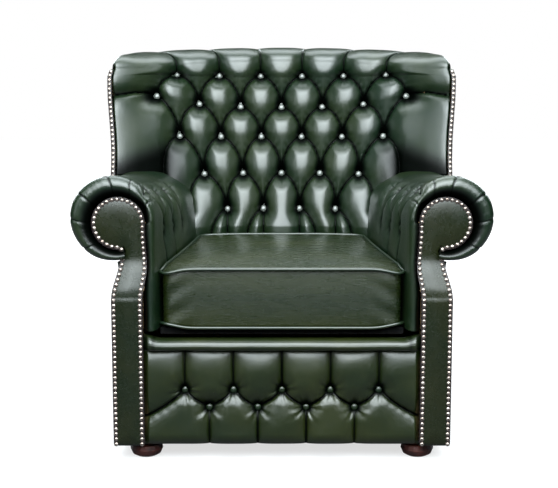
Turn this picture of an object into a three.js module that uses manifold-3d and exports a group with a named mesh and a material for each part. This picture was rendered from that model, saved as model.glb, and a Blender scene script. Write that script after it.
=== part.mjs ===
// Chesterfield armchair: high deep-buttoned back with wings, scroll arms with studded facings, a loose box
// cushion, a buttoned seat front and bun feet, over a beech frame with serpentine seat springs.
// Millimetres, +Z up, front towards -Y, origin on the floor under the middle of the chair.
import * as THREE from 'three';
import Module from 'manifold-3d';
import { mergeVertices } from 'three/addons/utils/BufferGeometryUtils.js';

const wasm = await Module();
wasm.setup();
const V = (x, y, z) => new THREE.Vector3(x, y, z);
const { lerp, clamp, smoothstep } = THREE.MathUtils;
const range = (count) => Array.from({ length: count }, (_, i) => i);

// Driving sizes: half width of the body, depth, height, and the levels of the base, seat and arm rolls
const bodyHalfWidth = 402;
const overallDepth = 886;
const backHeight = 974;
const floorGap = 40;
const deckTop = 318;
const rollCentreHeight = 586;

// Clearances, and the limits of the mesh
const seatGap = 0.3;
const clearOfBack = 0.7;
const closeFit = 1;
const overrun = 5;
const mergeDistance = 0.001;
const shortestEdge = 0.1;
const sliverHeight = 0.04;

// Scroll arms: a roll over the top, drawn in from the facing to the seat
const rollRadius = 102;
const rollRearRadius = 94;
const rollInset = 4;
const rollDrop = 40;
const rollLevelLength = 513;
const shoulderSetBack = 20;
const liningGap = 2;
const armBulge = 20;
const rollCentreX = bodyHalfWidth - rollInset;

// Facings: studded boards on the arm fronts, each a disc, a neck and a plinth
const facingThickness = 12;
const facingRadius = 63;
const facingInset = 16;
const facingDrop = 12;
const neckInnerInset = 83;
const neckOuterInset = 21;
const neckDrop = 128;
const plinthWidth = 73;
const sweepHeight = 50;
const plinthProud = 30;
const lipProud = 8;
const facingCentreX = bodyHalfWidth - facingInset;
const facingCentreHeight = rollCentreHeight - facingDrop;
const neckInnerX = bodyHalfWidth - neckInnerInset;
const neckOuterX = bodyHalfWidth - neckOuterInset;
const neckTop = facingCentreHeight - neckDrop;
const plinthInnerX = bodyHalfWidth - plinthWidth;
const plinthTop = neckTop - sweepHeight;

// Seat: cushion, deck, front lip and buttoned front
const deckThickness = 16;
const cushionHeight = 150;
const cushionSideInset = 114;
const cushionRearInset = 180;
const cushionFrontSetBack = 40;
const cushionBackGap = 73;
const cushionCrown = 16;
const cushionDrawIn = 5;
const cushionWall = 9;
const pipingRadius = 4;
const zipHalfLength = 110;
const zipHeight = 10;
const zipTapeThickness = 1.2;
const zipTeethWidth = 3;
const zipSliderLength = 12;
const zipPullLength = 24;
const zipPullWidth = 5;
const lipHeight = 44;
const lipDepth = 62;
const cushionHalfWidth = bodyHalfWidth - cushionSideInset;
const cushionRearHalfWidth = bodyHalfWidth - cushionRearInset;

// Back: its inside surface leans back and its wings come forward
const armLevel = 650;
const backBendHeight = 484;
const backDepthAtArm = 226;
const backDepthAtCrest = 130.5;
const wingProjection = 170;
const wingOverhang = 58;
const wingFlare = 14;
const wingCornerRadius = 56;
const wingRimWidth = 12;
const wingRimSetBack = 2;
const wingSeam = 2;
const backFootInset = 52;
const backPadding = 42;
const crestRise = 38;
const crestDip = 17;
const backPadBottom = 325;
const outsideThickness = 5;
const backPlaneRake = 55;
const wingHalfWidth = bodyHalfWidth + wingOverhang;
const backFootHalfWidth = bodyHalfWidth - backFootInset;
const crestSeam = backHeight - crestDip - crestRise;
const overDeck = (share) => deckTop + (backHeight - deckTop) * share;
const wingFlareFromShare = 0.552;
const wingFlareToShare = 0.887;
const wingFlareFrom = overDeck(wingFlareFromShare);
const wingFlareTo = overDeck(wingFlareToShare);

// Deep buttoning: rows of buttons on the back, the front and the arms
const rowHeightShares = [0.875, 0.741, 0.616, 0.463, 0.3155];
const halfPitchShares = [0.148, 0.1455, 0.143, 0.1356, 0.1256];
const buttonRowHeights = rowHeightShares.map(overDeck);
const buttonHalfPitches = halfPitchShares.map((share) => share * bodyHalfWidth);
const rowLifts = [10, 36, 10, 0, 0];
const backPuff = 36;
const frontButtonPitch = (plinthInnerX * 6) / 17;
const frontUpperRow = 172;
const frontLowerRow = 129;
const frontPuff = 22;
const armPuff = 16;
const armButtonPitch = 116;
const buttonRadius = 9;
const buttonHeight = 6;

// Beech frame
const railThickness = 28;
const railHeight = 110;
const frontRailDepth = 40;
const stumpThickness = 28;
const armRailRadius = 30;
const tackRailHeight = 50;
const topRailHeight = 80;
const postDepth = 40;
const stileDepth = 40;
const blockSize = 60;

// Webbing, springs, dust cover and feet
const webWidth = 50;
const webThickness = 3;
const springWireRadius = 2;
const springCount = 4;
const springHalfWidth = 24;
const springLoops = 9;
const clipWidth = 16;
const clipThickness = 4;
const clothThickness = 2;
const footRadius = 40;
const footSetBack = 72;
const footInset = 72;
const footX = bodyHalfWidth - footInset;
const springPitch = (plinthInnerX * 6) / 17;

// The chair from front to back
const halfDepth = overallDepth / 2;
const lipFrontY = -halfDepth;
const plinthFrontY = lipFrontY + lipProud;
const scrollFaceY = plinthFrontY + plinthProud;
const stumpFaceY = scrollFaceY + facingThickness + seatGap;
const stumpRearY = stumpFaceY + stumpThickness;
const backAtArm = halfDepth - backDepthAtArm;
const leanShare = (backDepthAtArm - backDepthAtCrest) / (crestSeam - armLevel);
const pipingClearance = pipingRadius * 2 + closeFit;
const sideRailX = bodyHalfWidth - outsideThickness - seatGap - railThickness;
const cushionFrontY = lipFrontY + cushionFrontSetBack;
const cushionRearY = backAtArm - cushionBackGap;
const cushionDepth = cushionRearY - cushionFrontY;
const cushionBottom = deckTop + seatGap;
const cushionTop = cushionBottom + cushionHeight;

// The outside of the back is a raked plane from the base to the crest
const backPlaneTop = backHeight - crestRise;
const outsideBackY = (z) => halfDepth - (backPlaneRake * (backPlaneTop - z)) / (backPlaneTop - floorGap);

// Colours of the real materials
const paint = (color, roughness, metalness = 0) => new THREE.MeshStandardMaterial({ color, roughness, metalness });
const greenLeather = paint(0x1c2f22, 0.35);
const antiqueBrass = paint(0x8a6a4a, 0.35, 0.9);
const beech = paint(0xb98f5f, 0.6);
const mahogany = paint(0x3a120c, 0.3);
const springSteel = paint(0x55585c, 0.4, 0.9);
const foam = paint(0xd9cfae, 0.9);
const hessian = paint(0x8c7550, 0.95);
const blackCloth = paint(0x141414, 0.95);

// A closed body from points and triangles, turned so that its faces point out
function body(points, faces) {
  let volume = 0;
  for (const [a, b, c] of faces) volume += points[a].dot(V(0, 0, 0).crossVectors(points[b], points[c]));
  const geometry = new THREE.BufferGeometry();
  geometry.setAttribute('position', new THREE.Float32BufferAttribute(points.flatMap((p) => p.toArray()), 3));
  geometry.setIndex(faces.flatMap(([a, b, c]) => (volume > 0 ? [a, b, c] : [a, c, b])));
  return geometry;
}

// A padded sheet between two grids of points; creases follow the diagonal nearer to the lining
function paddedSheet(outer, lining) {
  const points = [...outer.flat(), ...lining.flat()];
  const top = (i, j) => i * outer[0].length + j;
  const under = (i, j) => outer.flat().length + i * lining[0].length + j;
  const centre = lining.flat().reduce((sum, p) => sum.add(p), V(0, 0, 0)).divideScalar(lining.flat().length);
  const middle = (a, b) => V(0, 0, 0).addVectors(points[a], points[b]).divideScalar(2);
  const faces = [];
  const cells = (grid, visit) => {
    for (let i = 0; i < grid.length - 1; i++) for (let j = 0; j < grid[0].length - 1; j++) visit(i, j);
  };
  cells(outer, (i, j) => {
    const [a, b, c, d] = [top(i, j), top(i + 1, j), top(i + 1, j + 1), top(i, j + 1)];
    if (middle(a, c).distanceTo(centre) <= middle(b, d).distanceTo(centre)) faces.push([a, b, c], [a, c, d]);
    else faces.push([a, b, d], [b, c, d]);
  });
  cells(lining, (i, j) => {
    const [a, b, c, d] = [under(i, j), under(i + 1, j), under(i + 1, j + 1), under(i, j + 1)];
    faces.push([a, c, b], [a, d, c]);
  });
  const wall = (upper, lower) => {
    let [a, b] = [0, 0];
    while (a < upper.length - 1 || b < lower.length - 1) {
      const nextUpper = (a + 1) / (upper.length - 1);
      const nextLower = (b + 1) / (lower.length - 1);
      if (b === lower.length - 1 || (a < upper.length - 1 && nextUpper <= nextLower)) {
        faces.push([upper[a + 1], upper[a], lower[b]]);
        a += 1;
      } else {
        faces.push([upper[a], lower[b], lower[b + 1]]);
        b += 1;
      }
    }
  };
  const [rows, columns] = [outer.length, outer[0].length];
  const [lastRow, lastColumn] = [lining.length - 1, lining[0].length - 1];
  wall(range(rows).map((i) => top(i, 0)), range(lastRow + 1).map((i) => under(i, 0)));
  const back = (list) => list.slice().reverse();
  wall(back(range(rows).map((i) => top(i, columns - 1))), back(range(lastRow + 1).map((i) => under(i, lastColumn))));
  wall(range(columns).map((j) => top(rows - 1, j)), range(lastColumn + 1).map((j) => under(lastRow, j)));
  wall(back(range(columns).map((j) => top(0, j))), back(range(lastColumn + 1).map((j) => under(0, j))));
  return body(points, faces);
}

// Triangles that fill a flat loop of points, turned the way that the loop runs
function fill(loop) {
  const normal = V(0, 0, 0);
  loop.forEach((p, i) => normal.add(V(0, 0, 0).crossVectors(p, loop[(i + 1) % loop.length])));
  const flatten = new THREE.Quaternion().setFromUnitVectors(normal.normalize(), V(0, 0, 1));
  const flat = loop.map((p) => p.clone().applyQuaternion(flatten)).map((p) => new THREE.Vector2(p.x, p.y));
  return THREE.ShapeUtils.triangulateShape(flat, []).map((face) => {
    const turned = THREE.ShapeUtils.area(face.map((k) => flat[k])) > 0;
    return turned ? face : [face[0], face[2], face[1]];
  });
}

// A closed body lofted through loops of equal count, with flat ends unless it closes on itself
function loft(loops, closed = false) {
  const count = loops[0].length;
  const faces = [];
  const spans = closed ? loops.length : loops.length - 1;
  for (let i = 0; i < spans; i++) {
    for (let j = 0; j < count; j++) {
      const a = i * count + j;
      const b = i * count + ((j + 1) % count);
      const c = ((i + 1) % loops.length) * count + j;
      const d = ((i + 1) % loops.length) * count + ((j + 1) % count);
      faces.push([a, b, c], [b, d, c]);
    }
  }
  if (!closed) {
    const last = (loops.length - 1) * count;
    fill(loops[0]).forEach(([a, b, c]) => faces.push([c, b, a]));
    fill(loops[loops.length - 1]).forEach(([a, b, c]) => faces.push([last + a, last + b, last + c]));
  }
  return body(loops.flat(), faces);
}

// A round wire or cord along points, closed into a ring or with flat ends
function tube(path, radius, sides, closed = false) {
  const loops = path.map((p, i) => {
    const before = closed ? path[(i + path.length - 1) % path.length] : path[Math.max(i - 1, 0)];
    const after = closed ? path[(i + 1) % path.length] : path[Math.min(i + 1, path.length - 1)];
    const along = V(0, 0, 0).subVectors(after, before).normalize();
    const side = V(0, 0, 0).crossVectors(along, V(0, 0, 1)).normalize();
    const up = V(0, 0, 0).crossVectors(side, along);
    return Array.from({ length: sides }, (_, k) => {
      const angle = (2 * Math.PI * (k + 1 / 2)) / sides;
      return p.clone().addScaledVector(side, radius * Math.cos(angle)).addScaledVector(up, radius * Math.sin(angle));
    });
  });
  return loft(loops, closed);
}

function box(x0, x1, y0, y1, z0, z1) {
  const geometry = new THREE.BoxGeometry(x1 - x0, y1 - y0, z1 - z0);
  return geometry.translate((x0 + x1) / 2, (y0 + y1) / 2, (z0 + z1) / 2);
}

// A board cut to an outline in the Y-Z plane, from x0 to x1
function sideBoard(outline, x0, x1) {
  return loft([x0, x1].map((x) => outline.map(([y, z]) => V(x, y, z))));
}

// Only the positions, with edges too short to matter closed up and slivers turned into sound triangles
function bare(geometry) {
  const plain = geometry.clone();
  for (const name of Object.keys(plain.attributes)) if (name !== 'position') plain.deleteAttribute(name);
  const merged = mergeVertices(plain, mergeDistance);
  const index = Array.from(merged.index.array);
  const position = merged.attributes.position;
  const places = range(position.count).map((k) => V(0, 0, 0).fromBufferAttribute(position, k));
  const owner = range(places.length);
  const find = (k) => (owner[k] === k ? k : find(owner[k]));
  const corners = (list) => range(list.length / 3).map((k) => list.slice(3 * k, 3 * k + 3));
  for (const [a, b, c] of corners(index)) {
    for (const [from, to] of [[a, b], [b, c], [c, a]]) {
      if (places[from].distanceTo(places[to]) < shortestEdge) owner[find(from)] = find(to);
    }
  }
  const faces = corners(index.map(find)).filter(([a, b, c]) => a !== b && b !== c && a !== c);
  const edges = new Map();
  const note = (face, k) => face.forEach((from, i) => edges.set(`${from} ${face[(i + 1) % 3]}`, k));
  faces.forEach(note);
  faces.forEach((face, k) => {
    const turns = [0, 1, 2].map((i) => [face[i], face[(i + 1) % 3], face[(i + 2) % 3]]);
    const span = ([from, to]) => places[from].distanceTo(places[to]);
    const [a, b, c] = turns.reduce((best, turn) => (span(turn) > span(best) ? turn : best));
    const area = new THREE.Triangle(places[a], places[b], places[c]).getArea();
    const beside = edges.get(`${b} ${a}`);
    const d = faces[beside].find((corner) => corner !== a && corner !== b);
    if ((2 * area) / span([a, b]) > sliverHeight || edges.has(`${c} ${d}`) || edges.has(`${d} ${c}`)) return;
    edges.delete(`${a} ${b}`);
    edges.delete(`${b} ${a}`);
    faces[k] = [a, d, c];
    faces[beside] = [d, b, c];
    note(faces[k], k);
    note(faces[beside], beside);
  });
  merged.setIndex(faces.flat());
  return merged;
}

function solid(geometry) {
  const merged = bare(geometry);
  return new wasm.Manifold(new wasm.Mesh({
    numProp: 3,
    vertProperties: new Float32Array(merged.attributes.position.array),
    triVerts: new Uint32Array(merged.index.array),
  }));
}

function geometryOf(manifold) {
  const mesh = manifold.getMesh();
  const geometry = new THREE.BufferGeometry();
  geometry.setAttribute('position', new THREE.BufferAttribute(new Float32Array(mesh.vertProperties), 3));
  geometry.setIndex(new THREE.BufferAttribute(new Uint32Array(mesh.triVerts), 1));
  return geometry;
}

const cut = (base, ...tools) => geometryOf(tools.reduce((rest, tool) => rest.subtract(solid(tool)), solid(base)));
const joined = (base, ...others) => geometryOf(others.reduce((all, other) => all.add(solid(other)), solid(base)));

// The left-hand twin of a right-hand piece
function mirrored(geometry) {
  const twin = bare(geometry);
  const position = twin.attributes.position;
  for (let i = 0; i < position.count; i++) position.setX(i, -position.getX(i));
  const index = twin.index.array;
  for (let i = 0; i < index.length; i += 3) [index[i + 1], index[i + 2]] = [index[i + 2], index[i + 1]];
  return twin;
}

const chair = new THREE.Group();
function piece(name, geometry, material) {
  const mesh = new THREE.Mesh(bare(geometry), material);
  mesh.name = name;
  chair.add(mesh);
  return mesh;
}
function pair(name, geometry, material) {
  piece(`${name}_right`, geometry, material);
  piece(`${name}_left`, mirrored(geometry), material);
}

// Deep buttoning: leather rises between the pleats that join the buttons
const pillow = (share) => Math.sqrt(1 - (1 - clamp(share, 0, 1)) ** 2);
function pleatHeight(point, buttons, pleats, reach, puff) {
  const distance = (a, b) => Math.hypot(a[0] - b[0], a[1] - b[1]);
  let nearest = Infinity;
  for (const [from, to] of pleats) {
    const span = [to[0] - from[0], to[1] - from[1]];
    const run = (point[0] - from[0]) * span[0] + (point[1] - from[1]) * span[1];
    const along = clamp(run / (span[0] ** 2 + span[1] ** 2), 0, 1);
    nearest = Math.min(nearest, distance(point, [from[0] + along * span[0], from[1] + along * span[1]]));
  }
  const pit = Math.min(...buttons.map((b) => distance(point, b)));
  const creaseShare = 0.5;
  return puff * (pillow(nearest / reach) * (1 - creaseShare) + creaseShare * pillow(pit / reach));
}

// Buttons: low leather domes at a place, facing along a direction, rooted in the leather they sink into
const buttonStand = 2.6;
const buttonRoot = 5;
function button(place, facing) {
  const outlineShares = [[1, 0.2], [0.75, 0.75], [0, 1]];
  const outline = outlineShares.map(([out, up]) => new THREE.Vector2(out * buttonRadius, up * buttonHeight));
  outline.unshift(new THREE.Vector2(0, -buttonRoot));
  const dome = new THREE.LatheGeometry(outline, 7);
  dome.applyQuaternion(new THREE.Quaternion().setFromUnitVectors(V(0, 1, 0), facing));
  return dome.translate(place.x, place.y, place.z);
}
function backButtons() {
  const rake = Math.atan(leanShare);
  const facing = V(0, -Math.cos(rake), Math.sin(rake));
  return backLattice.map(([p, q]) => {
    const [x, z] = latticePoint(p, q);
    return button(V(x, insideBackY(x, z) + backPuff - buttonStand, z), facing);
  });
}

// Inside back: its surface before buttoning, at any place on it
const wingShape = (x) => (Math.abs(x) / wingHalfWidth) ** 2.6;
function insideBackY(x, z) {
  const lean = leanShare * (Math.max(z, backBendHeight) - armLevel);
  return backAtArm + lean - wingProjection * wingShape(x);
}
const wingEdgeX = (z) => wingHalfWidth + wingFlare * smoothstep(z, wingFlareFrom, wingFlareTo);
const crestHeight = (x) => {
  const along = Math.min(Math.abs(x) / (wingHalfWidth - wingCornerRadius), 1);
  return backHeight - crestDip * along ** 2;
};

// The crest's roll fades out round the wing's top corner
const cornerEndShare = 0.97;
const cornerShare = (x) => {
  const along = (Math.abs(x) - wingHalfWidth + wingCornerRadius) / wingCornerRadius;
  return Math.sqrt(1 - clamp(along, 0, cornerEndShare) ** 2);
};

// Lattice of the back's buttoning: p counts half pitches from the middle, q counts rows from the top
const rowValue = (table, q) => {
  const i = clamp(Math.floor(q), 0, table.length - 2);
  return lerp(table[i], table[i + 1], clamp(q, 0, table.length - 1) - i);
};
const fieldHalf = 6;
function latticePoint(p, q) {
  const x = p * rowValue(buttonHalfPitches, q);
  const lift = rowValue(rowLifts, q) * Math.min(Math.abs(p) / fieldHalf, 1) ** 3;
  return [x, rowValue(buttonRowHeights, q) + lift];
}
const rowExtents = [5, 6, 5, 4, 3];
const backLattice = rowExtents.flatMap((extent, q) => range(extent + 1).map((k) => [2 * k - extent, q]));
const inLattice = ([p, q]) => backLattice.some((place) => place[0] === p && place[1] === q);
const backPleats = [];
for (const [p, q] of backLattice) {
  for (const side of [-1, 1]) {
    const next = [p + side, q + 1];
    const intoArm = Math.sign(p) === side && Math.abs(p) < fieldHalf;
    if (inLattice(next) || intoArm || q === rowExtents.length - 1) backPleats.push([[p, q], next]);
  }
}
for (const [p, q] of backLattice) {
  if (q === 0) backPleats.push([[p, q], [p, q - 2]]);
  if (q === rowExtents.length - 1) backPleats.push([[p, q], [p, q + 2]]);
}
backPleats.push([[fieldHalf, 1], [fieldHalf + 3, 1]], [[-fieldHalf, 1], [-fieldHalf - 3, 1]]);

// Height of the buttoned leather above the button line, measured in lattice steps
const latticeReach = 0.7;
const backRise = (p, q) => pleatHeight([p, q], backLattice, backPleats, latticeReach, backPuff);

// Rows and columns of the inside back, from the seat up and over the crest
const backColumns = [];
for (let p = -fieldHalf; p <= fieldHalf; p += 1 / 2) backColumns.push(p);
const wingSteps = [1 / 3, 2 / 3, 9 / 10, 1];
for (const step of wingSteps) {
  backColumns.push(fieldHalf + step);
  backColumns.unshift(-fieldHalf - step);
}
const wingFootRow = 3;
const wingFootShare = 0.15;
const wingFootLow = buttonRowHeights[wingFootRow];
const wingFootHigh = lerp(wingFootLow, buttonRowHeights[wingFootRow - 1], wingFootShare);
const backEdgeX = (z) => {
  const open = clamp((z - wingFootLow) / (wingFootHigh - wingFootLow), 0, 1);
  return lerp(backFootHalfWidth, wingOutlineX(z) - wingRimWidth, open);
};
function backPoint(p, q) {
  const below = q - (rowExtents.length - 1);
  let [x, z] = latticePoint(clamp(p, -fieldHalf, fieldHalf), q);
  if (below > 0) z = lerp(z, backPadBottom, below / 2);
  const inner = Math.abs(x);
  const out = Math.max(Math.abs(p) - fieldHalf, 0);
  if (q < 0) z = lerp(z, crestHeight(lerp(inner, backEdgeX(z), out)) - crestRise, -q);
  return [Math.sign(p) * lerp(inner, backEdgeX(z), out), z];
}

// Plan of the back's rear edge above the seat: along the outside back, round a corner and forward to the rim
const crestCornerRadius = 16;
const crestCornerFrom = 330;
function rearOutline(x, z) {
  const side = Math.sign(x) || 1;
  const away = Math.abs(x);
  const rear = outsideBackY(z);
  const sideX = wingOutlineX(z) - wingRimWidth / 4;
  const cornerX = sideX - crestCornerRadius;
  if (away <= crestCornerFrom) return [(x * cornerX) / crestCornerFrom, rear];
  const turnShare = 0.25;
  const along = clamp((away - crestCornerFrom) / (wingOutlineX(z) - wingRimWidth - crestCornerFrom), 0, 1);
  if (along < turnShare) {
    const angle = (along / turnShare) * (Math.PI / 2);
    return [side * (cornerX + crestCornerRadius * Math.sin(angle)), rear - crestCornerRadius * (1 - Math.cos(angle))];
  }
  const rest = (along - turnShare) / (1 - turnShare);
  const rim = insideBackY(sideX, z) + backPadding;
  return [side * sideX, lerp(rear - crestCornerRadius, rim, rest)];
}

// The wing's outer side leans out as it rises and turns in again under the crest
function wingOutlineX(z) {
  const turnIn = (wingRimWidth / 2) * clamp((z - wingFlareTo) / (crestSeam - wingFlareTo), 0, 1);
  return wingEdgeX(z) - turnIn;
}

const outsideWingFoot = wingFootHigh - overrun;
const flareShares = [0, 0.25, 0.5, 0.75, 1];
const flareHeights = flareShares.map((share) => lerp(wingFlareFrom, wingFlareTo, share));
const wingHeights = [outsideWingFoot, ...flareHeights, crestSeam - wingSeam / 2];

const liningRows = [6, 5, 4, wingFootRow, wingFootRow - wingFootShare, 2, 1, 0, -1];
const crestShares = [0.25, 0.5, 0.75, 1];
const liningDrop = 9;
function insideBack() {
  const last = rowExtents.length - 1;
  const rows = [last + 2, last + 1];
  for (let q = last; q >= 0; q -= 1 / 2) rows.push(q);
  rows.splice(rows.indexOf(wingFootRow) + 1, 0, wingFootRow - wingFootShare);
  rows.push(-1 / 2, -1);
  const outer = [];
  const lining = [];
  for (const q of rows) {
    const seam = backColumns.map((p) => {
      const [x, z] = backPoint(p, q);
      const rise = q > last + 1 ? 0 : backRise(p, q) - backPuff;
      return [V(x, insideBackY(x, z) - rise, z), V(x, insideBackY(x, z) + backPadding, z)];
    });
    outer.push(seam.map(([front]) => front));
    lining.push(seam.map(([, back]) => back));
  }
  const seamFront = outer[outer.length - 1];
  const seamLining = lining[lining.length - 1];
  const keptRow = (_, i) => i >= rows.length || liningRows.includes(rows[i]);
  const keptColumn = (_, j) => j % 2 === 0;
  for (const share of crestShares) {
    const over = (1 - Math.cos(Math.PI * share)) / 2;
    const hump = Math.sin(Math.PI * share);
    outer.push(seamFront.map((f) => {
      const [x, y] = rearOutline(f.x, f.z);
      return V(lerp(f.x, x, over), lerp(f.y, y, over), f.z + crestRise * hump * cornerShare(f.x));
    }));
    lining.push(seamLining.map((f, j) => {
      const [x, y] = rearOutline(seamFront[j].x, f.z);
      const rise = (crestRise - backPadding / 2) * hump * cornerShare(f.x);
      const rear = y - liningDrop * (y > f.y + liningDrop ? 1 : 0);
      return V(lerp(f.x, x - Math.sign(x) * liningDrop, over), lerp(f.y, rear, over), f.z - liningDrop * hump + rise);
    }));
  }
  return paddedSheet(outer, lining.filter(keptRow).map((row) => row.filter(keptColumn)));
}

// The space that the back and its wings take up, and the space behind the outside back's inner face
function backSpace(clearance) {
  const rows = [
    [floorGap - overrun, backFootHalfWidth, 0], [backBendHeight, backFootHalfWidth, 0],
    [wingFootLow - clearance, backFootHalfWidth, overrun], [wingFootHigh - clearance - overrun, wingHalfWidth, overrun],
    [wingFlareFrom, wingHalfWidth, 0], [backHeight + overrun, wingHalfWidth, 0],
  ];
  const stations = range(17).map((i) => i / 8 - 1);
  const grid = (rear) => rows.map(([z, halfWidth, extra]) => stations.map((share) => {
    const x = share * (halfWidth + clearance);
    return V(x, rear ? halfDepth + overrun : insideBackY(x, z) - clearance - extra, z);
  }));
  return paddedSheet(grid(false), grid(true));
}
function rearSpace(clearance) {
  const z0 = floorGap - overrun;
  const z1 = backHeight + overrun;
  const face = (z) => outsideBackY(z) - outsideThickness - clearance;
  const far = overallDepth;
  return sideBoard([[face(z0), z0], [far, z0], [far, z1], [face(z1), z1]], -overallDepth, overallDepth);
}

// The cushion narrows towards the back, and the arms follow its sides
const cushionSideX = (y) => {
  const share = clamp((cushionRearY - y) / cushionDepth, 0, 1);
  return lerp(cushionRearHalfWidth, cushionHalfWidth, share ** 1.25);
};
const armInnerX = (y) => cushionSideX(y) + pipingClearance;
const armShoulderX = (y) => armInnerX(y) + shoulderSetBack * clamp((y - scrollFaceY) / (halfDepth - lipProud), 0, 1);

// Arm rolls sink from the facing and come level near the back
const rollShare = (y) => clamp((y - scrollFaceY) / rollLevelLength, 0, 1);
const rollLevel = (y) => rollCentreHeight - rollDrop * Math.sin((rollShare(y) * Math.PI) / 2);
const armRearY = outsideBackY(rollCentreHeight);
const armShare = (y) => clamp((y - scrollFaceY) / (armRearY - scrollFaceY), 0, 1);
const rollRadiusAt = (y) => lerp(rollRadius, rollRearRadius, armShare(y));
const armSideSteps = 5;
const rollSteps = 9;
const shoulderSteps = 5;

// One outline of the arm's leather in the X-Z plane, from under the roll, over it and down the inside
function armOutline(y) {
  const centreZ = rollLevel(y);
  const radius = rollRadiusAt(y);
  const shoulderX = armShoulderX(y);
  const outline = [];
  for (const k of range(rollSteps + 1)) {
    const angle = lerp(-Math.PI / 2, Math.PI / 2, k / rollSteps);
    outline.push([rollCentreX + radius * Math.cos(angle), centreZ + radius * Math.sin(angle)]);
  }
  for (const k of range(shoulderSteps)) {
    const angle = lerp(Math.PI / 2, Math.PI, (k + 1) / shoulderSteps);
    outline.push([rollCentreX + (rollCentreX - shoulderX) * Math.cos(angle), centreZ + radius * Math.sin(angle)]);
  }
  for (const k of range(armSideSteps)) {
    const down = (k + 1) / armSideSteps;
    outline.push([lerp(shoulderX, armInnerX(y), Math.sqrt(down)), lerp(centreZ, deckTop, down)]);
  }
  return outline;
}

// The stuffing's inner face: round the facing and stump in front, round the arm rail behind them
function armLining(y) {
  const behind = smoothstep(y, stumpRearY, stumpRearY + stumpThickness);
  const centreX = lerp(facingCentreX, rollCentreX, behind);
  const centreZ = lerp(facingCentreHeight, rollLevel(y), behind);
  const radius = lerp(facingRadius, armRailRadius, behind) + liningGap;
  const shoulderX = lerp(neckInnerX - closeFit, rollCentreX - armRailRadius - liningGap, behind);
  const innerX = lerp(neckInnerX - closeFit, sideRailX - closeFit, behind);
  const outline = [];
  for (const k of range(rollSteps + shoulderSteps + 1)) {
    const shoulder = Math.max(k - rollSteps, 0) / shoulderSteps;
    const angle = -Math.PI / 2 + Math.min(k / rollSteps, 1) * Math.PI + (shoulder * Math.PI) / 2;
    const reachX = k > rollSteps ? centreX - shoulderX : radius;
    outline.push([centreX + reachX * Math.cos(angle), centreZ + radius * Math.sin(angle)]);
  }
  for (const k of range(armSideSteps)) outline.push([innerX, lerp(centreZ, deckTop, (k + 1) / armSideSteps)]);
  return outline;
}

// Buttoning of the inside arm: s counts steps of the outline from the top of the roll, k counts buttons from the front
const armButtonY = (k) => scrollFaceY + armButtonPitch * k;
const armUpperStep = 2.5;
const armLowerStep = 5.5;
const armUpperShares = [0.6, 1.6, 2.6, 3.6];
const armLowerShares = [1.1, 2.1, 3.1];
const armPleatEnd = armButtonY(armUpperShares[3] + armUpperShares[0]);
const armStepLength = 42;
const armPlace = (s, k) => [s * armStepLength, armButtonY(k)];
const armButtonPlaces = [
  ...armUpperShares.map((k) => [armUpperStep, k]),
  ...armLowerShares.map((k) => [armLowerStep, k]),
];
const armButtons = armButtonPlaces.map(([s, k]) => armPlace(s, k));
const armPleats = [];
for (const k of armUpperShares) {
  armPleats.push([armPlace(-rollSteps, k), armPlace(armUpperStep, k)]);
  for (const turn of [-1 / 2, 1 / 2]) {
    if (armLowerShares.some((place) => Math.abs(place - k - turn) < 1 / 4)) {
      armPleats.push([armPlace(armUpperStep, k), armPlace(armLowerStep, k + turn)]);
    }
  }
}
for (const k of armLowerShares) {
  armPleats.push([armPlace(armLowerStep, k), armPlace(armSideSteps + shoulderSteps, k)]);
}

function armSurfaces(y) {
  const outline = armOutline(y);
  return outline.map(([x, z], i) => {
    const place = [(i - rollSteps) * armStepLength, y];
    const sunk = armPuff - pleatHeight(place, armButtons, armPleats, armButtonPitch / 4, armPuff);
    const before = outline[Math.max(i - 1, 0)];
    const after = outline[Math.min(i + 1, outline.length - 1)];
    const run = Math.hypot(after[0] - before[0], after[1] - before[1]);
    const depth = y > armPleatEnd || i === 0 ? 0 : sunk / run;
    return V(x - (after[1] - before[1]) * depth, y, z + (after[0] - before[0]) * depth);
  });
}

// The arm's front edge is a rounded collar, drawn in to the facing
function armPad() {
  const collarShares = [[0.97, -0.6], [0.88, 0], [0.6, 0.8], [0.3, 1], [0.08, 0.5]];
  const collar = collarShares.map(([drawn, proud]) => [drawn, scrollFaceY - armBulge * proud]);
  const places = [...range(9).map((k) => k / 2 + armUpperShares[0]), armLowerShares[2] * 2].map(armButtonY);
  const ys = [stumpRearY + closeFit, ...places, armRearY + overrun];
  const liningAt = (y) => armLining(y).map(([x, z]) => V(x, y, z));
  const lining = [liningAt(collar[0][1]), ...ys.map(liningAt)];
  const outer = [...collar, [0, armButtonY(1 / 10)], ...ys.map((y) => [0, y])].map(([drawn, y]) => {
    return armSurfaces(y).map((at, i) => V(lerp(at.x, lining[0][i].x, drawn), y, lerp(at.z, lining[0][i].z, drawn)));
  });
  const buttonBodies = armButtonPlaces.map(([s, k]) => {
    const i = Math.floor(s + rollSteps);
    const outline = armOutline(armButtonY(k));
    const facing = V(outline[i + 1][1] - outline[i][1], 0, outline[i][0] - outline[i + 1][0]).normalize();
    const surface = armSurfaces(armButtonY(k));
    const place = surface[i].clone().lerp(surface[i + 1], s + rollSteps - i);
    return button(place.addScaledVector(facing, buttonStand), facing);
  });
  const stuffed = joined(paddedSheet(outer, lining), ...buttonBodies);
  const neighbours = [backSpace, wingStile, postSpace, backTackRail].map((space) => space(clearOfBack));
  return cut(stuffed, ...neighbours, rearSpace(seatGap));
}

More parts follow.
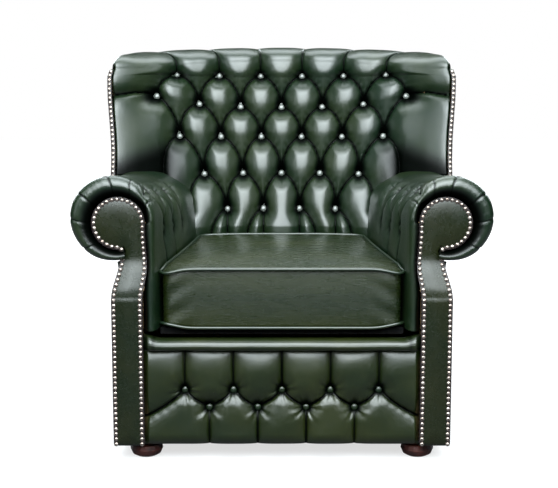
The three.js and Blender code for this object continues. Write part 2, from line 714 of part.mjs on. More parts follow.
// Facing outline at a height: inner and outer edge of disc, neck and plinth
function facingEdges(z) {
  const reach = Math.sqrt(Math.max(facingRadius ** 2 - (z - facingCentreHeight) ** 2, 0));
  const flare = 1 - smoothstep(z, plinthTop, neckTop);
  const neckIn = lerp(neckInnerX, plinthInnerX, flare);
  const neckOut = lerp(neckOuterX, bodyHalfWidth, flare);
  if (z > facingCentreHeight) return [facingCentreX - reach, facingCentreX + reach];
  if (z > facingCentreHeight - facingRadius) {
    return [Math.min(neckIn, facingCentreX - reach), Math.max(neckOut, facingCentreX + reach)];
  }
  return [neckIn, neckOut];
}
const facingFrontY = (z) => lerp(plinthFrontY, scrollFaceY, smoothstep(z, plinthTop, neckTop));
const facingBackY = (z) => facingFrontY(z) + facingThickness;
const sweepHeights = range(6).map((k) => lerp(plinthTop, neckTop, k / 5));
const discTurnShares = [-0.985, 0.89];
const discTurn = (share) => (lerp(...discTurnShares, share) * Math.PI) / 2;
const discHeights = range(11).map((k) => facingCentreHeight + facingRadius * Math.sin(discTurn(k / 10)));
function facing() {
  return loft([floorGap, ...sweepHeights, ...discHeights].map((z) => {
    const [inner, outer] = facingEdges(z);
    const [front, back] = [facingFrontY(z), facingBackY(z)];
    return [V(inner, front, z), V(outer, front, z), V(outer, back, z), V(inner, back, z)];
  }));
}

// Arm stump: the frame's scroll board behind the facing, thicker in its foot where the plinth stands proud
const stumpInset = 1.5;
const stumpFootRise = 6;
const stumpFoot = floorGap + stumpFootRise;
function armStump() {
  return loft([stumpFoot, ...sweepHeights, ...discHeights].map((z) => {
    const [inner, outer] = facingEdges(z);
    const a = inner + stumpInset;
    const b = Math.min(outer, bodyHalfWidth - outsideThickness) - stumpInset;
    const front = facingBackY(z) + seatGap;
    return [V(a, front, z), V(b, front, z), V(b, stumpRearY, z), V(a, stumpRearY, z)];
  }));
}

// Loose seat cushion: a leather box with crown and drawn-in sides over a foam core, closed by a zip
const cushionCorner = 26;
const cushionSideSteps = 7;
const rearPlanShares = [[0.96, 1 / 6], [0.88, 0], [0.45, 0]];
const cushionRear = (x) => Math.min(cushionRearY, insideBackY(x, backBendHeight) - pipingClearance);
function cushionPlan(inset) {
  const frontY = cushionFrontY + inset;
  const cornerX = cushionHalfWidth - cushionCorner / 4;
  const half = [[0, frontY], [cushionHalfWidth / 2, frontY], [cushionHalfWidth - cushionCorner - inset / 2, frontY]];
  half.push([cornerX - inset, frontY + cushionCorner / 4]);
  const endY = cushionRear(cushionRearHalfWidth) - cushionCorner / 2;
  for (const k of range(cushionSideSteps)) {
    const y = lerp(frontY + cushionCorner, endY - inset, k / (cushionSideSteps - 1));
    half.push([cushionSideX(y) - inset, y]);
  }
  rearPlanShares.forEach(([across, drawn]) => {
    const x = cushionRearHalfWidth * across - inset;
    half.push([x, cushionRear(x) - inset - cushionCorner * drawn]);
  });
  half.push([0, cushionRear(0) - inset]);
  const left = half.slice(1, -1).reverse().map(([x, y]) => [-x, y]);
  return [...half, ...left];
}
const cushionLayerShares = [
  [0.5, 0, 0, 0], [1, 0, 0, 0], [1, 1, 0.25, 0], [1, 1.6, 0.6, 0],
  [1, 0, 1, 0], [0.8, 0, 1, 0.5], [0.5, 0, 1, 0.85], [0.2, 0, 1, 1],
];
function cushionBody(wall) {
  const centreY = (cushionFrontY + cushionRearY) / 2;
  const low = cushionBottom + wall;
  const high = cushionTop - wall;
  const scaled = ([x, y], share, z) => V(x * share, centreY + (y - centreY) * share, z);
  return loft(cushionLayerShares.map(([across, drawn, up, crown]) => {
    const z = lerp(low, high, up) + cushionCrown * crown;
    return cushionPlan(wall + cushionDrawIn * drawn).map((place) => scaled(place, across, z));
  }));
}
const zipMiddle = (cushionBottom + cushionTop) / 2;
const zipFaceY = cushionRear(0) - cushionDrawIn * 1.5;
const zipStrip = (x, y0, y1, halfHeight) => box(-x, x, y0, y1, zipMiddle - halfHeight, zipMiddle + halfHeight);
function cushionCover() {
  const slot = zipStrip(zipHalfLength, zipFaceY - cushionWall * 2, zipFaceY + cushionWall * 2, zipHeight / 2);
  return cut(cushionBody(0), cushionBody(cushionWall), slot);
}
const cushionCore = () => cushionBody(cushionWall + seatGap);
function cushionPiping(z) {
  return tube(cushionPlan(-pipingRadius).map(([x, y]) => V(x, y, z)), pipingRadius, 6, true);
}

// Zip in the cushion's rear face: tape with a row of teeth, and a slider with its hanging pull
const zipTapeY = zipFaceY - cushionWall / 2;
const zipTeethY = zipTapeY + zipTapeThickness * 2;
function zipTape() {
  const tape = zipStrip(zipHalfLength - seatGap, zipTapeY, zipTapeY + zipTapeThickness, zipHeight / 2 - seatGap);
  return joined(tape, zipStrip(zipHalfLength - zipHeight, zipTapeY + seatGap, zipTeethY, zipTeethWidth / 2));
}
function zipSlider() {
  const x0 = -zipHalfLength + zipHeight;
  const middle = x0 + zipSliderLength / 2;
  const tabY = zipFaceY + zipTapeThickness * 2;
  const half = zipPullWidth / 2;
  const bodyPart = box(x0, x0 + zipSliderLength, zipTeethY + seatGap, zipFaceY,
    zipMiddle - half, zipMiddle + half);
  const eye = half / 2;
  const loop = box(middle - eye, middle + eye, zipFaceY - zipTapeThickness, tabY + zipTapeThickness,
    zipMiddle - eye, zipMiddle + eye);
  const pull = box(middle - half, middle + half, tabY, tabY + zipTapeThickness,
    zipMiddle - zipPullLength, zipMiddle + half);
  return joined(bodyPart, loop, pull);
}

// Buttoned panel between the plinths, below the lip
const frontPanelHalfWidth = plinthInnerX - seatGap;
const frontPanelTop = deckTop - lipHeight - seatGap;
const frontPanelBackY = plinthFrontY + frontPuff + facingThickness;
const frontButtons = [];
for (const k of range(5)) frontButtons.push([frontButtonPitch * (k - 2), frontUpperRow]);
for (const k of range(4)) frontButtons.push([frontButtonPitch * (k - 3 / 2), frontLowerRow]);
const frontPleats = [];
for (const [x, z] of frontButtons) {
  const half = frontButtonPitch / 2;
  if (z === frontUpperRow) frontPleats.push([[x, z], [x, frontPanelTop]]);
  else frontPleats.push([[x, z], [x, floorGap]], [[x, z], [x - half, frontUpperRow]], [[x, z], [x + half, frontUpperRow]]);
}
const frontRise = (x, z) => pleatHeight([x, z], frontButtons, frontPleats, frontButtonPitch / 3, frontPuff);
function frontPanel() {
  const columns = [-frontPanelHalfWidth];
  for (const k of range(21)) columns.push((k / 4 - 5 / 2) * frontButtonPitch);
  columns.push(frontPanelHalfWidth);
  const belowShares = [0, 0.15, 0.6];
  const aboveShares = [0.45, 0.85, 1];
  const levels = [
    ...belowShares.map((share) => lerp(floorGap, frontLowerRow, share)),
    frontLowerRow, (frontLowerRow + frontUpperRow) / 2, frontUpperRow,
    ...aboveShares.map((share) => lerp(frontUpperRow, frontPanelTop, share)),
  ];
  const rimShare = 0.35;
  const outer = levels.map((z, i) => columns.map((x, j) => {
    const rim = i === 0 || i === levels.length - 1 || j === 0 || j === columns.length - 1;
    return V(x, frontPanelBackY - facingThickness - frontRise(x, z) * (rim ? rimShare : 1), z);
  }));
  const lining = levels.map((z) => columns.map((x) => V(x, frontPanelBackY, z)));
  const y = frontPanelBackY - facingThickness - buttonStand;
  const buttonBodies = frontButtons.map(([x, z]) => button(V(x, y, z), V(0, -1, 0)));
  return joined(paddedSheet(outer, lining), ...buttonBodies);
}

// Padded lip on the seat's front edge, drawn in at its ends
function seatLip() {
  const outlineShares = [[0.22, 0], [0.05, 0.18], [0, 0.5], [0.1, 0.84], [0.32, 1], [1, 1], [1, 0]];
  const half = plinthInnerX - seatGap;
  const endShares = [[-1, 0.3], [-0.97, 0], [0.97, 0], [1, 0.3]];
  return loft(endShares.map(([along, drawn]) => outlineShares.map(([back, up]) => {
    const y = lipFrontY + lipDepth * lerp(back, 1, drawn);
    return V(half * along, y, deckTop - lipHeight * (1 - up));
  })));
}

// Seat platform of hessian and felt between the arms, carried by the springs
const deckFrontY = lipFrontY + lipDepth + closeFit;
function seatDeck() {
  const rear = insideBackY(cushionRearHalfWidth, backBendHeight) - clearOfBack - closeFit;
  const stations = range(6).map((i) => lerp(deckFrontY, rear, i / 5));
  const edge = (y) => armInnerX(y) - closeFit;
  const outline = [...stations.map((y) => [edge(y), y]), ...stations.reverse().map((y) => [-edge(y), y])];
  return loft([deckTop - deckThickness, deckTop].map((z) => outline.map(([x, y]) => V(x, y, z))));
}

// Serpentine springs, arched from the front rail to the back rail, with a clip on each end
const frontRailTopZ = frontPanelTop;
const springLevel = frontRailTopZ + springWireRadius + clipThickness;
const frontRailY = frontPanelBackY + seatGap;
const springFrontY = frontRailY + frontRailDepth - clipWidth / 2 - closeFit;
const backRailY = outsideBackY(floorGap) - outsideThickness - railThickness - closeFit;
const springRearY = backRailY + railThickness / 2;
const springX = (k) => (k - (springCount - 1) / 2) * springPitch;
const springArch = deckTop - deckThickness - springLevel - springWireRadius - seatGap;
function seatSpring(x) {
  const steps = springLoops * 4;
  const path = range(steps + 1).map((i) => {
    const share = i / steps;
    const fade = Math.min(1, 6 * share, 6 * (1 - share));
    const side = springHalfWidth * Math.sin(Math.PI * springLoops * share) * fade;
    const y = lerp(springFrontY, springRearY, share);
    return V(x + side, y, springLevel + springArch * Math.sin(Math.PI * share));
  });
  const clip = (y) => box(x - clipWidth / 2, x + clipWidth / 2, y - clipWidth / 2, y + clipWidth / 2,
    frontRailTopZ + seatGap, springLevel + springWireRadius / 2);
  return joined(tube(path, springWireRadius, 4), clip(springFrontY), clip(springRearY));
}

// Seat frame
const crossRail = (x, y, depth) => box(-x, x, y, y + depth, stumpFoot, frontRailTopZ);
const frontRail = () => crossRail(plinthInnerX, frontRailY, frontRailDepth);
const backRail = () => crossRail(sideRailX - closeFit, backRailY, railThickness);
const sideRailFrontY = stumpRearY + seatGap;
const postFaceY = (z) => outsideBackY(z) - outsideThickness - seatGap - postDepth;
const sideRailRearY = postFaceY(stumpFoot) - seatGap;
const besideRail = (z, height) => box(sideRailX, sideRailX + railThickness, sideRailFrontY, sideRailRearY, z, z + height);
const sideRail = () => besideRail(stumpFoot, railHeight);
function cornerBlock(y, turn) {
  const x = sideRailX - closeFit;
  const corners = [[x, y], [x - blockSize, y], [x, y + turn * blockSize]];
  return loft([stumpFoot, stumpFoot + blockSize].map((z) => corners.map(([a, b]) => V(a, b, z))));
}

// Arm frame: a round-edged rail under the roll and a tacking rail at seat level
function armRail() {
  const rear = postFaceY(rollCentreHeight - rollDrop - armRailRadius) - seatGap;
  const flats = 8;
  const stations = range(7).map((i) => lerp(sideRailFrontY, rear, i / 6));
  return loft(stations.map((y) => range(flats).map((k) => {
    const angle = (2 * Math.PI * (k + 1 / 2)) / flats;
    return V(rollCentreX + armRailRadius * Math.cos(angle), y, rollLevel(y) + armRailRadius * Math.sin(angle));
  })));
}
const tackRailZ = deckTop - deckThickness;
const armTackRail = () => besideRail(tackRailZ, tackRailHeight);

// Back frame: posts, top rail, a rail at the foot of the inside back, wing stiles and wing rails
const postTop = crestSeam - liningDrop - overrun;
const postX = sideRailX;
function backPost() {
  const outline = [stumpFoot, postTop].map((z) => [postFaceY(z), z]);
  outline.push(...[postTop, stumpFoot].map((z) => [postFaceY(z) + postDepth, z]));
  return sideBoard(outline, postX, postX + railThickness);
}
function postSpace(clearance) {
  const face = (z) => postFaceY(z) - webThickness - clearance;
  const [low, high] = [stumpFoot, postTop];
  const outline = [[face(low), low], [halfDepth, low], [halfDepth, high], [face(high), high]];
  return sideBoard(outline, backFootHalfWidth - overrun, postX + railThickness + clearance);
}
function backTopRail() {
  const [x, y] = [postX - seatGap, postFaceY(postTop)];
  return box(-x, x, y, y + railThickness, postTop - topRailHeight, postTop);
}
function backTackRail(clearance) {
  const x = sideRailX - seatGap + clearance;
  const y = insideBackY(0, backBendHeight) + backPadding + closeFit;
  const [low, high] = [tackRailZ - clearance, tackRailZ + tackRailHeight + clearance];
  return box(-x, x, y - clearance, y + railThickness + clearance, low, high);
}
const stileX = postX + railThickness + seatGap;
const stileFaceY = (z) => insideBackY(stileX, z) + backPadding + closeFit;
const plan = (a, b, front, rear, z) => [V(a, front, z), V(b, front, z), V(b, rear, z), V(a, rear, z)];
function wingStile(clearance) {
  const foot = rollCentreHeight - rollDrop + armRailRadius + closeFit;
  const heights = [foot, ...wingHeights.filter((z) => z < wingFlareTo), wingFlareTo - wingRimWidth];
  return loft(heights.map((z) => {
    const [a, b] = [stileX - clearance, wingEdgeX(z) - outsideThickness - closeFit + clearance];
    const [front, rear] = [stileFaceY(z) - clearance, stileFaceY(z) + stileDepth + clearance];
    return plan(a, b, front, rear, z);
  }));
}
function wingRail() {
  return loft([wingFlareTo - wingRimWidth - railThickness, wingFlareTo - wingRimWidth].map((z) => {
    const [a, b] = [stileX, wingEdgeX(z) - outsideThickness - closeFit];
    const [front, rear] = [stileFaceY(z) + stileDepth + closeFit, postFaceY(z) + postDepth];
    return plan(a, b, front, rear, z);
  }));
}

// Webbing across the posts, and the stuffing between it and the inside back
function backWebbing() {
  const low = tackRailZ + tackRailHeight;
  const high = postTop - topRailHeight / 2;
  const strap = (x0, x1, z0, z1) => {
    const face = (z) => postFaceY(z) - seatGap;
    const outline = [[face(z0), z0], [face(z1), z1], [face(z1) - webThickness, z1], [face(z0) - webThickness, z0]];
    return sideBoard(outline, x0, x1);
  };
  const wide = postX + railThickness;
  const levelShares = [0, 0.18, 0.53, 0.77, 1];
  const level = levelShares.map((share) => lerp(low + webWidth, high - webWidth, share));
  const pitchShare = 0.325;
  const half = webWidth / 2;
  const uprights = range(5).map((k) => (k - 2) * postX * pitchShare).map((x) => strap(x - half, x + half, low, high));
  return joined(...level.map((z) => strap(-wide, wide, z - half, z + half)), ...uprights);
}
function backStuffing() {
  const rows = [...liningRows.filter((q) => q > 0 && q < 6), 1 / 2];
  const columns = backColumns.filter((p) => Math.abs(p) <= fieldHalf && Number.isInteger(p));
  const grid = (rear) => rows.map((q) => columns.map((p) => {
    const [x, z] = backPoint(p, q);
    return V(x, rear ? postFaceY(z) - webThickness - seatGap * 2 : insideBackY(x, z) + backPadding + closeFit, z);
  }));
  return paddedSheet(grid(false), grid(true));
}

// Outside covers: leather over board on the arms, wings and back, and a cloth below
function outsideArm() {
  const under = (y) => rollLevel(y) - rollRadiusAt(y) - closeFit * 2;
  const rear = (z) => outsideBackY(z);
  const fronts = [floorGap, ...sweepHeights].map((z) => [facingBackY(z) + seatGap, z]);
  const ys = range(6).map((i) => lerp(scrollFaceY + facingThickness + closeFit, armRearY - overrun, i / 5));
  const tops = ys.map((y) => [y, under(y)]);
  tops[tops.length - 1] = [rear(under(armRearY)), under(armRearY)];
  const outline = [...fronts, ...tops, [rear(floorGap), floorGap]];
  return sideBoard(outline, bodyHalfWidth - outsideThickness, bodyHalfWidth);
}
function outsideWing() {
  const t = outsideThickness;
  return loft(wingHeights.map((z) => {
    const x = wingOutlineX(z);
    const rim = x - wingRimWidth + wingSeam;
    const front = insideBackY(x - wingRimWidth, z) + wingRimSetBack;
    const rear = outsideBackY(z);
    const outline = [[rim, front], [x, front], [x, rear], [x - t, rear], [x - t, front + t], [rim, front + t]];
    return outline.map(([a, b]) => V(a, b, z));
  }));
}
function outsideBack() {
  const inset = outsideThickness + seatGap;
  const rollEnd = rollCentreHeight - rollDrop;
  const rollReach = (z) => Math.sqrt(Math.max(rollRearRadius ** 2 - (z - rollEnd) ** 2, 0));
  const half = (z) => {
    if (z >= outsideWingFoot) return wingOutlineX(z) - inset;
    return Math.max(bodyHalfWidth - inset, rollReach(z) > 0 ? rollCentreX + rollReach(z) : 0);
  };
  const rollShares = [-1, -0.97, -0.7, -0.3, 0.1, 0.5, 0.8];
  const levels = [floorGap, ...rollShares.map((share) => rollEnd + rollRearRadius * share), ...wingHeights];
  const columnShares = [-1, -0.8, -0.4, 0, 0.4, 0.8, 1];
  const grid = (depth) => levels.map((z, i) => columnShares.map((share) => {
    const x = half(z) * share;
    const top = i === levels.length - 1 ? crestHeight(x) - crestRise - seatGap : z;
    return V(x, outsideBackY(top) - depth, top);
  }));
  return paddedSheet(grid(0), grid(outsideThickness));
}
function dustCover() {
  const z = stumpFoot - seatGap;
  const x = sideRailX + railThickness;
  return box(-x, x, stumpFaceY, backRailY + railThickness, z - clothThickness, z);
}

// Turned bun feet
function bunFoot() {
  const height = stumpFoot - seatGap * 2 - clothThickness;
  const turnedShares = [[0, 0], [0.62, 0], [0.86, 0.12], [1, 0.42], [0.93, 0.68], [0.66, 0.82], [0.66, 1], [0, 1]];
  const outline = turnedShares.map(([out, up]) => new THREE.Vector2(out * footRadius, up * height));
  return new THREE.LatheGeometry(outline, 20).rotateX(Math.PI / 2);
}

piece('inside_back', joined(insideBack(), ...backButtons()), greenLeather);
pair('arm_pad', armPad(), greenLeather);
pair('arm_facing', facing(), greenLeather);
pair('arm_stump', armStump(), beech);
piece('seat_cushion_cover', cushionCover(), greenLeather);
piece('seat_cushion_core', cushionCore(), foam);
piece('cushion_piping_bottom', cushionPiping(cushionBottom + pipingRadius), greenLeather);
piece('cushion_piping_top', cushionPiping(cushionTop - pipingRadius), greenLeather);
piece('zip_tape', zipTape(), blackCloth);
piece('zip_slider', zipSlider(), antiqueBrass);
piece('front_panel', frontPanel(), greenLeather);
piece('seat_lip', seatLip(), greenLeather);
piece('seat_deck', seatDeck(), hessian);
for (const k of range(springCount)) piece(`seat_spring_${k + 1}`, seatSpring(springX(k)), springSteel);
piece('front_rail', frontRail(), beech);
piece('back_rail', backRail(), beech);
pair('side_rail', sideRail(), beech);
pair('arm_tack_rail', armTackRail(), beech);
pair('arm_rail', armRail(), beech);
pair('back_post', backPost(), beech);
piece('back_top_rail', backTopRail(), beech);
piece('back_tack_rail', backTackRail(0), beech);
pair('wing_stile', wingStile(0), beech);
pair('wing_rail', wingRail(), beech);
piece('back_webbing', backWebbing(), hessian);
piece('back_stuffing', backStuffing(), foam);
pair('corner_block_front', cornerBlock(frontRailY + frontRailDepth + seatGap, 1), beech);
pair('corner_block_rear', cornerBlock(backRailY - closeFit, -1), beech);
pair('outside_arm', outsideArm(), greenLeather);
pair('outside_wing', outsideWing(), greenLeather);
piece('outside_back', outsideBack(), greenLeather);
piece('dust_cover', dustCover(), blackCloth);
for (const [end, y] of [['front', lipFrontY + footSetBack], ['rear', backRailY - overrun]]) {
  for (const [hand, side] of [['right', 1], ['left', -1]]) {
    piece(`foot_${end}_${hand}`, bunFoot(), mahogany).position.set(side * footX, y, 0);
  }
}

export default chair;
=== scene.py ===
"""Chesterfield armchair in glossy dark green leather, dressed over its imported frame.

The sections follow the chair as an upholsterer builds it up: the studio first, then the deep-buttoned back,
the scroll arms, the studded facings, the loose cushion, the buttoned front, the outside covers and the base.
Shapes are worked out in millimetres, as on the drawings, and turned to metres when a piece is made.
"""
import math

import bmesh
import bpy
import numpy as np
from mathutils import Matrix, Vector, noise
from mathutils.geometry import delaunay_2d_cdt


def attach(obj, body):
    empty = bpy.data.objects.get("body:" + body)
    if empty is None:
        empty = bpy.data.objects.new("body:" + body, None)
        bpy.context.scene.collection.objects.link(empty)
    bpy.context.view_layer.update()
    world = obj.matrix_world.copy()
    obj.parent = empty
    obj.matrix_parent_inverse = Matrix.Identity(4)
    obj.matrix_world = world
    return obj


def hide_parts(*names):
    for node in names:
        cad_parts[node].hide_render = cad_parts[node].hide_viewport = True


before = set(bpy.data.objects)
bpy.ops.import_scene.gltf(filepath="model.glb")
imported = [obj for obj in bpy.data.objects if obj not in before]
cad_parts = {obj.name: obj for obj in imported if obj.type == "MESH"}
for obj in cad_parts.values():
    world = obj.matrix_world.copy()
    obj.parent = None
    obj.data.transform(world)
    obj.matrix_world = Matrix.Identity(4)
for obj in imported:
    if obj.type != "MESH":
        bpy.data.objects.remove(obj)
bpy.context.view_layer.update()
scene = bpy.context.scene


# ---------------------------------------------------------------- Studio
# A white photographer's cove: the chair stands on a pale floor under large soft lamps, and the camera is a
# long lens at seated eye height, looking slightly down.
scene.view_settings.view_transform = "Standard"

lens = bpy.data.cameras.new("long_lens")
lens.lens = 85.0
lens.sensor_width = 36.0
lens.clip_end = 60.0
camera = bpy.data.objects.new("camera", lens)
camera.location = (-0.007, -3.473, 1.02)
camera.rotation_euler = (math.radians(90 - 9.16), 0, 0)
scene.collection.objects.link(camera)
scene.camera = camera


class Reading:
    """One output of a node. Sums and products of readings add the Math nodes that work them out."""

    def __init__(self, craft, made, output=None):
        self.craft, self.made = craft, made
        self.socket = made.outputs[output] if output else next(o for o in made.outputs if o.enabled)

    def out(self, name):
        return Reading(self.craft, self.made, name)

    def math(self, operation, *values):
        return self.craft.node("ShaderNodeMath", dict(enumerate(values)), operation=operation)

    def __add__(self, other):
        return self.math("ADD", self, other)

    def __rsub__(self, other):
        return self.math("SUBTRACT", other, self)

    def __mul__(self, other):
        return self.math("MULTIPLY", self, other)

    def between(self, low, high):
        """0 below low and 1 above high, with a smooth step from one to the other."""
        sockets = {"Value": self, "From Min": low, "From Max": high}
        return self.craft.node("ShaderNodeMapRange", sockets, interpolation_type="SMOOTHSTEP")

    __radd__, __rmul__ = __add__, __mul__


class Craft:
    """A node tree that is written as calls: one method makes any node and feeds its sockets."""

    def __init__(self, tree):
        self.tree = tree

    def feed(self, made, name, value):
        if isinstance(name, int):
            socket = made.inputs[name]
        else:
            socket = next(s for s in made.inputs if s.enabled and s.name == name)
        if isinstance(value, Reading):
            self.tree.links.new(value.socket, socket)
        else:
            socket.default_value = value

    def node(self, kind, sockets=None, **settings):
        made = self.tree.nodes.new(kind)
        for name, value in settings.items():
            setattr(made, name, value)
        for name, value in (sockets or {}).items():
            self.feed(made, name, value)
        return Reading(self, made)


class Finish(Craft):
    """A material of the chair, read on the piece's own coordinates in metres."""

    def __init__(self, name, **fixed):
        self.material = bpy.data.materials.new(name)
        self.material.use_nodes = True
        super().__init__(self.material.node_tree)
        self.shader = self.tree.nodes["Principled BSDF"]
        for words, value in fixed.items():
            self.feed(self.shader, words.replace("_", " ").title().replace("Ior", "IOR"), value)
        self.place = self.node("ShaderNodeTexCoord").out("Object")

    def noise(self, scale, detail=3.0, roughness=0.55, place=None, output="Fac"):
        sockets = {"Vector": place or self.place, "Scale": scale, "Detail": detail, "Roughness": roughness}
        return self.node("ShaderNodeTexNoise", sockets).out(output)

    def stretched(self, by, turn=(0, 0, 0)):
        """The coordinates squeezed along each axis, for grain that runs one way."""
        return self.node("ShaderNodeMapping", {"Vector": self.place, "Scale": by, "Rotation": turn})

    def blend(self, share, low, high):
        low, high = [(*c, 1) if isinstance(c, tuple) else c for c in (low, high)]
        return self.node("ShaderNodeMix", {"Factor": share, "A": low, "B": high}, data_type="RGBA")

    def dress(self, **uneven):
        for words, value in uneven.items():
            self.feed(self.shader, words.replace("_", " ").title(), value)

    def relief(self, height, depth, strength=1.0, under=None):
        sockets = {"Height": height, "Distance": depth, "Strength": strength}
        if under:
            sockets["Normal"] = under
        return self.node("ShaderNodeBump", sockets)


cove = Finish("cove_white", roughness=0.9)
to_camera = cove.node("ShaderNodeLightPath").out("Is Camera Ray")
cove.dress(base_color=cove.blend(to_camera, (0.05, 0.05, 0.055), (0.24, 0.24, 0.24)))
cove.feed(cove.shader, "Emission Color", (1, 1, 1, 1))
away = cove.node("ShaderNodeVectorMath", {0: cove.place}, operation="LENGTH").out("Value")
cove.feed(cove.shader, "Emission Strength", to_camera * (0.68 + 0.4 * away.between(0.9, 2.4)))

cove_mesh = bpy.data.meshes.new("cove")
cove_mesh.from_pydata([(-9, -9, 0), (9, -9, 0), (9, 9, 0), (-9, 9, 0)], [], [(0, 1, 2, 3)])
cove_floor = bpy.data.objects.new("cove", cove_mesh)
cove_mesh.materials.append(cove.material)
scene.collection.objects.link(cove_floor)

studio = bpy.data.worlds.new("studio")
studio.use_nodes = True
scene.world = studio
air = Craft(studio.node_tree)
rays = air.node("ShaderNodeLightPath")
up = air.node("ShaderNodeSeparateXYZ", {"Vector": air.node("ShaderNodeTexCoord").out("Generated")}).out("Z")
surround = 0.012 + 0.22 * up.between(0.35, 1.0)
seen = rays.out("Is Camera Ray")
backdrop = studio.node_tree.nodes["Background"]
air.feed(backdrop, "Color", (1, 1, 1, 1))
air.feed(backdrop, "Strength", seen + (1 - seen) * surround)

soft_lamps = {
    "key": ((-0.5, -2.6, 2.2), (2.1, 1.8), 45),
    "broad": ((0.2, -2.5, 2.6), (5.6, 2.8), 440),
    "upper": ((-0.1, -1.1, 3.0), (3.2, 1.9), 165),
    "behind": ((0.0, 1.3, 2.9), (3.2, 1.3), 75),
    "left_strip": ((-2.7, -1.1, 1.4), (0.4, 1.6), 15),
    "right_strip": ((2.7, -1.1, 1.4), (0.4, 1.6), 4),
    "left_rear": ((-1.8, 2.6, 1.6), (1.6, 1.4), 60),
    "right_rear": ((1.8, 2.6, 1.6), (1.6, 1.4), 60),
}
for lamp_name, (place, size, power) in soft_lamps.items():
    lamp = bpy.data.lights.new(lamp_name, "AREA")
    lamp.shape, lamp.energy = "RECTANGLE", power
    lamp.size, lamp.size_y = size
    lamp.color = (0.88, 0.965, 1.0)
    lamp_object = bpy.data.objects.new(lamp_name, lamp)
    lamp_object.location = place
    lamp_object.rotation_euler = (Vector((0, 0, 0.55)) - Vector(place)).to_track_quat("-Z", "Y").to_euler()
    scene.collection.objects.link(lamp_object)


# ---------------------------------------------------------------- Leather
# Hand-aged hide: a dark green coat under a clear glossy one, rubbed to olive where it stands proud. Down in the folds,
# pits and recesses it is painted near black and without reflection, as painted shade. Its pores and fine creases are
# pressed into the grain.
def hide(name, grain=1.0, rubbed=1.0, run=(1, 1, 1), matt=0.27, ior=1.5,
         deep=(0.0011, 0.0074, 0.0023), worn_to=(0.0084, 0.0145, 0.0031)):
    leather = Finish(name, ior=ior, coat_roughness=0.24)
    along = leather.stretched(run)
    fold_shade = leather.node("ShaderNodeAttribute", attribute_name="fold_shade").out("Fac")
    cloudy = leather.noise(6.0, 4.0, place=along)
    mottled = leather.noise(55.0, 5.0, 0.65, place=along)
    cells = {"Vector": along, "Scale": 560.0, "Randomness": 0.95}
    pores = leather.node("ShaderNodeTexVoronoi", cells, feature="DISTANCE_TO_EDGE").out("Distance")
    creases = leather.noise(34.0, 7.0, 0.62, place=along)
    worn = (cloudy.between(0.3, 0.75) * 0.7 + mottled.between(0.35, 0.85) * 0.25) * (1 - fold_shade) * rubbed
    coat = leather.blend(worn, deep, worn_to)
    # Painted shade: where the piece's fold shade is high the colour goes near black and the clear coat goes.
    coat = leather.blend(fold_shade, coat, (0.0002, 0.0004, 0.0003))
    leather.dress(base_color=coat, roughness=matt + 0.05 * mottled, coat_weight=0.3 * (1 - fold_shade))
    fine = leather.relief(pores.between(0.0, 0.25), 0.00018, 0.55 * grain)
    leather.dress(normal=leather.relief(creases, 0.0008, 0.3 * grain, fine))
    # Painted shade: a black surface without any reflection is mixed in by the same fold shade.
    shadow_black = {"Base Color": (0.0003, 0.0006, 0.0004, 1), "Roughness": 0.9, "Specular IOR Level": 0.0}
    layers = {0: fold_shade, 1: Reading(leather, leather.shader), 2: leather.node("ShaderNodeBsdfPrincipled", shadow_black)}
    leather.feed(leather.tree.nodes["Material Output"], "Surface", leather.node("ShaderNodeMixShader", layers))
    return leather.material


soft_hide = hide("green_hide")
olive = {"deep": (0.0031, 0.0076, 0.0011), "worn_to": (0.0122, 0.0158, 0.0019)}


# ---------------------------------------------------------------- Inside back
# One hide pulled down over a raked, stuffed back in a field of diamonds: every corner is held by a button on
# twine, and the slack is folded under along the lines between them. It rolls over the crest and into the wings.
button_rows = [892, 804, 722, 622, 525]
button_half_pitches = [59.5, 58.5, 57.5, 54.5, 50.5]
row_lifts = [10, 36, 10, 0, 0]
row_extents = [5, 6, 5, 4, 3]
row_stretch = 1.6
back_puff, back_padding, pit_depth = 36, 42, 26
field_half = 6
back_rake, back_y, back_z, seat_line, tuck_line = 0.355, 217, 650, 484, 325
outside_y, outside_lean, outside_top, outside_height = 443, 55, 936, 896
crest_rise, crest_dip, back_height = 38, 17, 974
crest_straight, crest_turn = 330, 16
between_arms = 350
wing_half, wing_flare, wing_corner, wing_rim, wing_reach = 460, 14, 56, 12, 170


def unit(value):
    return np.clip(value, 0, 1)


def smooth(value, low, high):
    share = unit((value - low) / (high - low))
    return share * share * (3 - 2 * share)


def mix(low, high, share):
    return low + (high - low) * share


def joined(*columns):
    return np.stack(np.broadcast_arrays(*columns), -1)


def inside_back_y(x, z):
    return back_y + back_rake * (np.maximum(z, seat_line) - back_z) - wing_reach * (np.abs(x) / wing_half) ** 2.6


def outside_back_y(z):
    return outside_y - outside_lean * (outside_top - z) / outside_height


def wing_outline_x(z):
    return wing_half + wing_flare * smooth(z, 680, 900) - wing_rim / 2 * unit((z - 900) / 19)


def crest_height(x):
    return back_height - crest_dip * np.minimum(np.abs(x) / (wing_half - wing_corner), 1) ** 2


def corner_share(x):
    return np.sqrt(1 - np.clip((np.abs(x) - wing_half + wing_corner) / wing_corner, 0, 0.97) ** 2)


def lattice_point(p, q):
    """Where half pitch p of row q lies on the back, seen from the front."""
    rows = np.arange(5)
    x = p * np.interp(q, rows, button_half_pitches)
    lift = np.interp(q, rows, row_lifts) * np.minimum(np.abs(p) / field_half, 1) ** 3
    return x, np.interp(q, rows, button_rows) + lift


back_lattice = [(2 * k - extent, q) for q, extent in enumerate(row_extents) for k in range(extent + 1)]


def arch(start, end, bow=0.86):
    """A pleat between two buttons: it leaves the upper one sideways and comes down on the lower one."""
    (u0, v0), (u1, v1) = start, end
    bend = (u0 + (u1 - u0) * bow, v0 + (v1 - v0) * (1 - bow))
    points = []
    for t in np.linspace(0, 1, 7):
        points.append(tuple((1 - t) ** 2 * a + 2 * t * (1 - t) * b + t * t * c for a, b, c in zip(start, bend, end)))
    return list(zip(points, points[1:]))


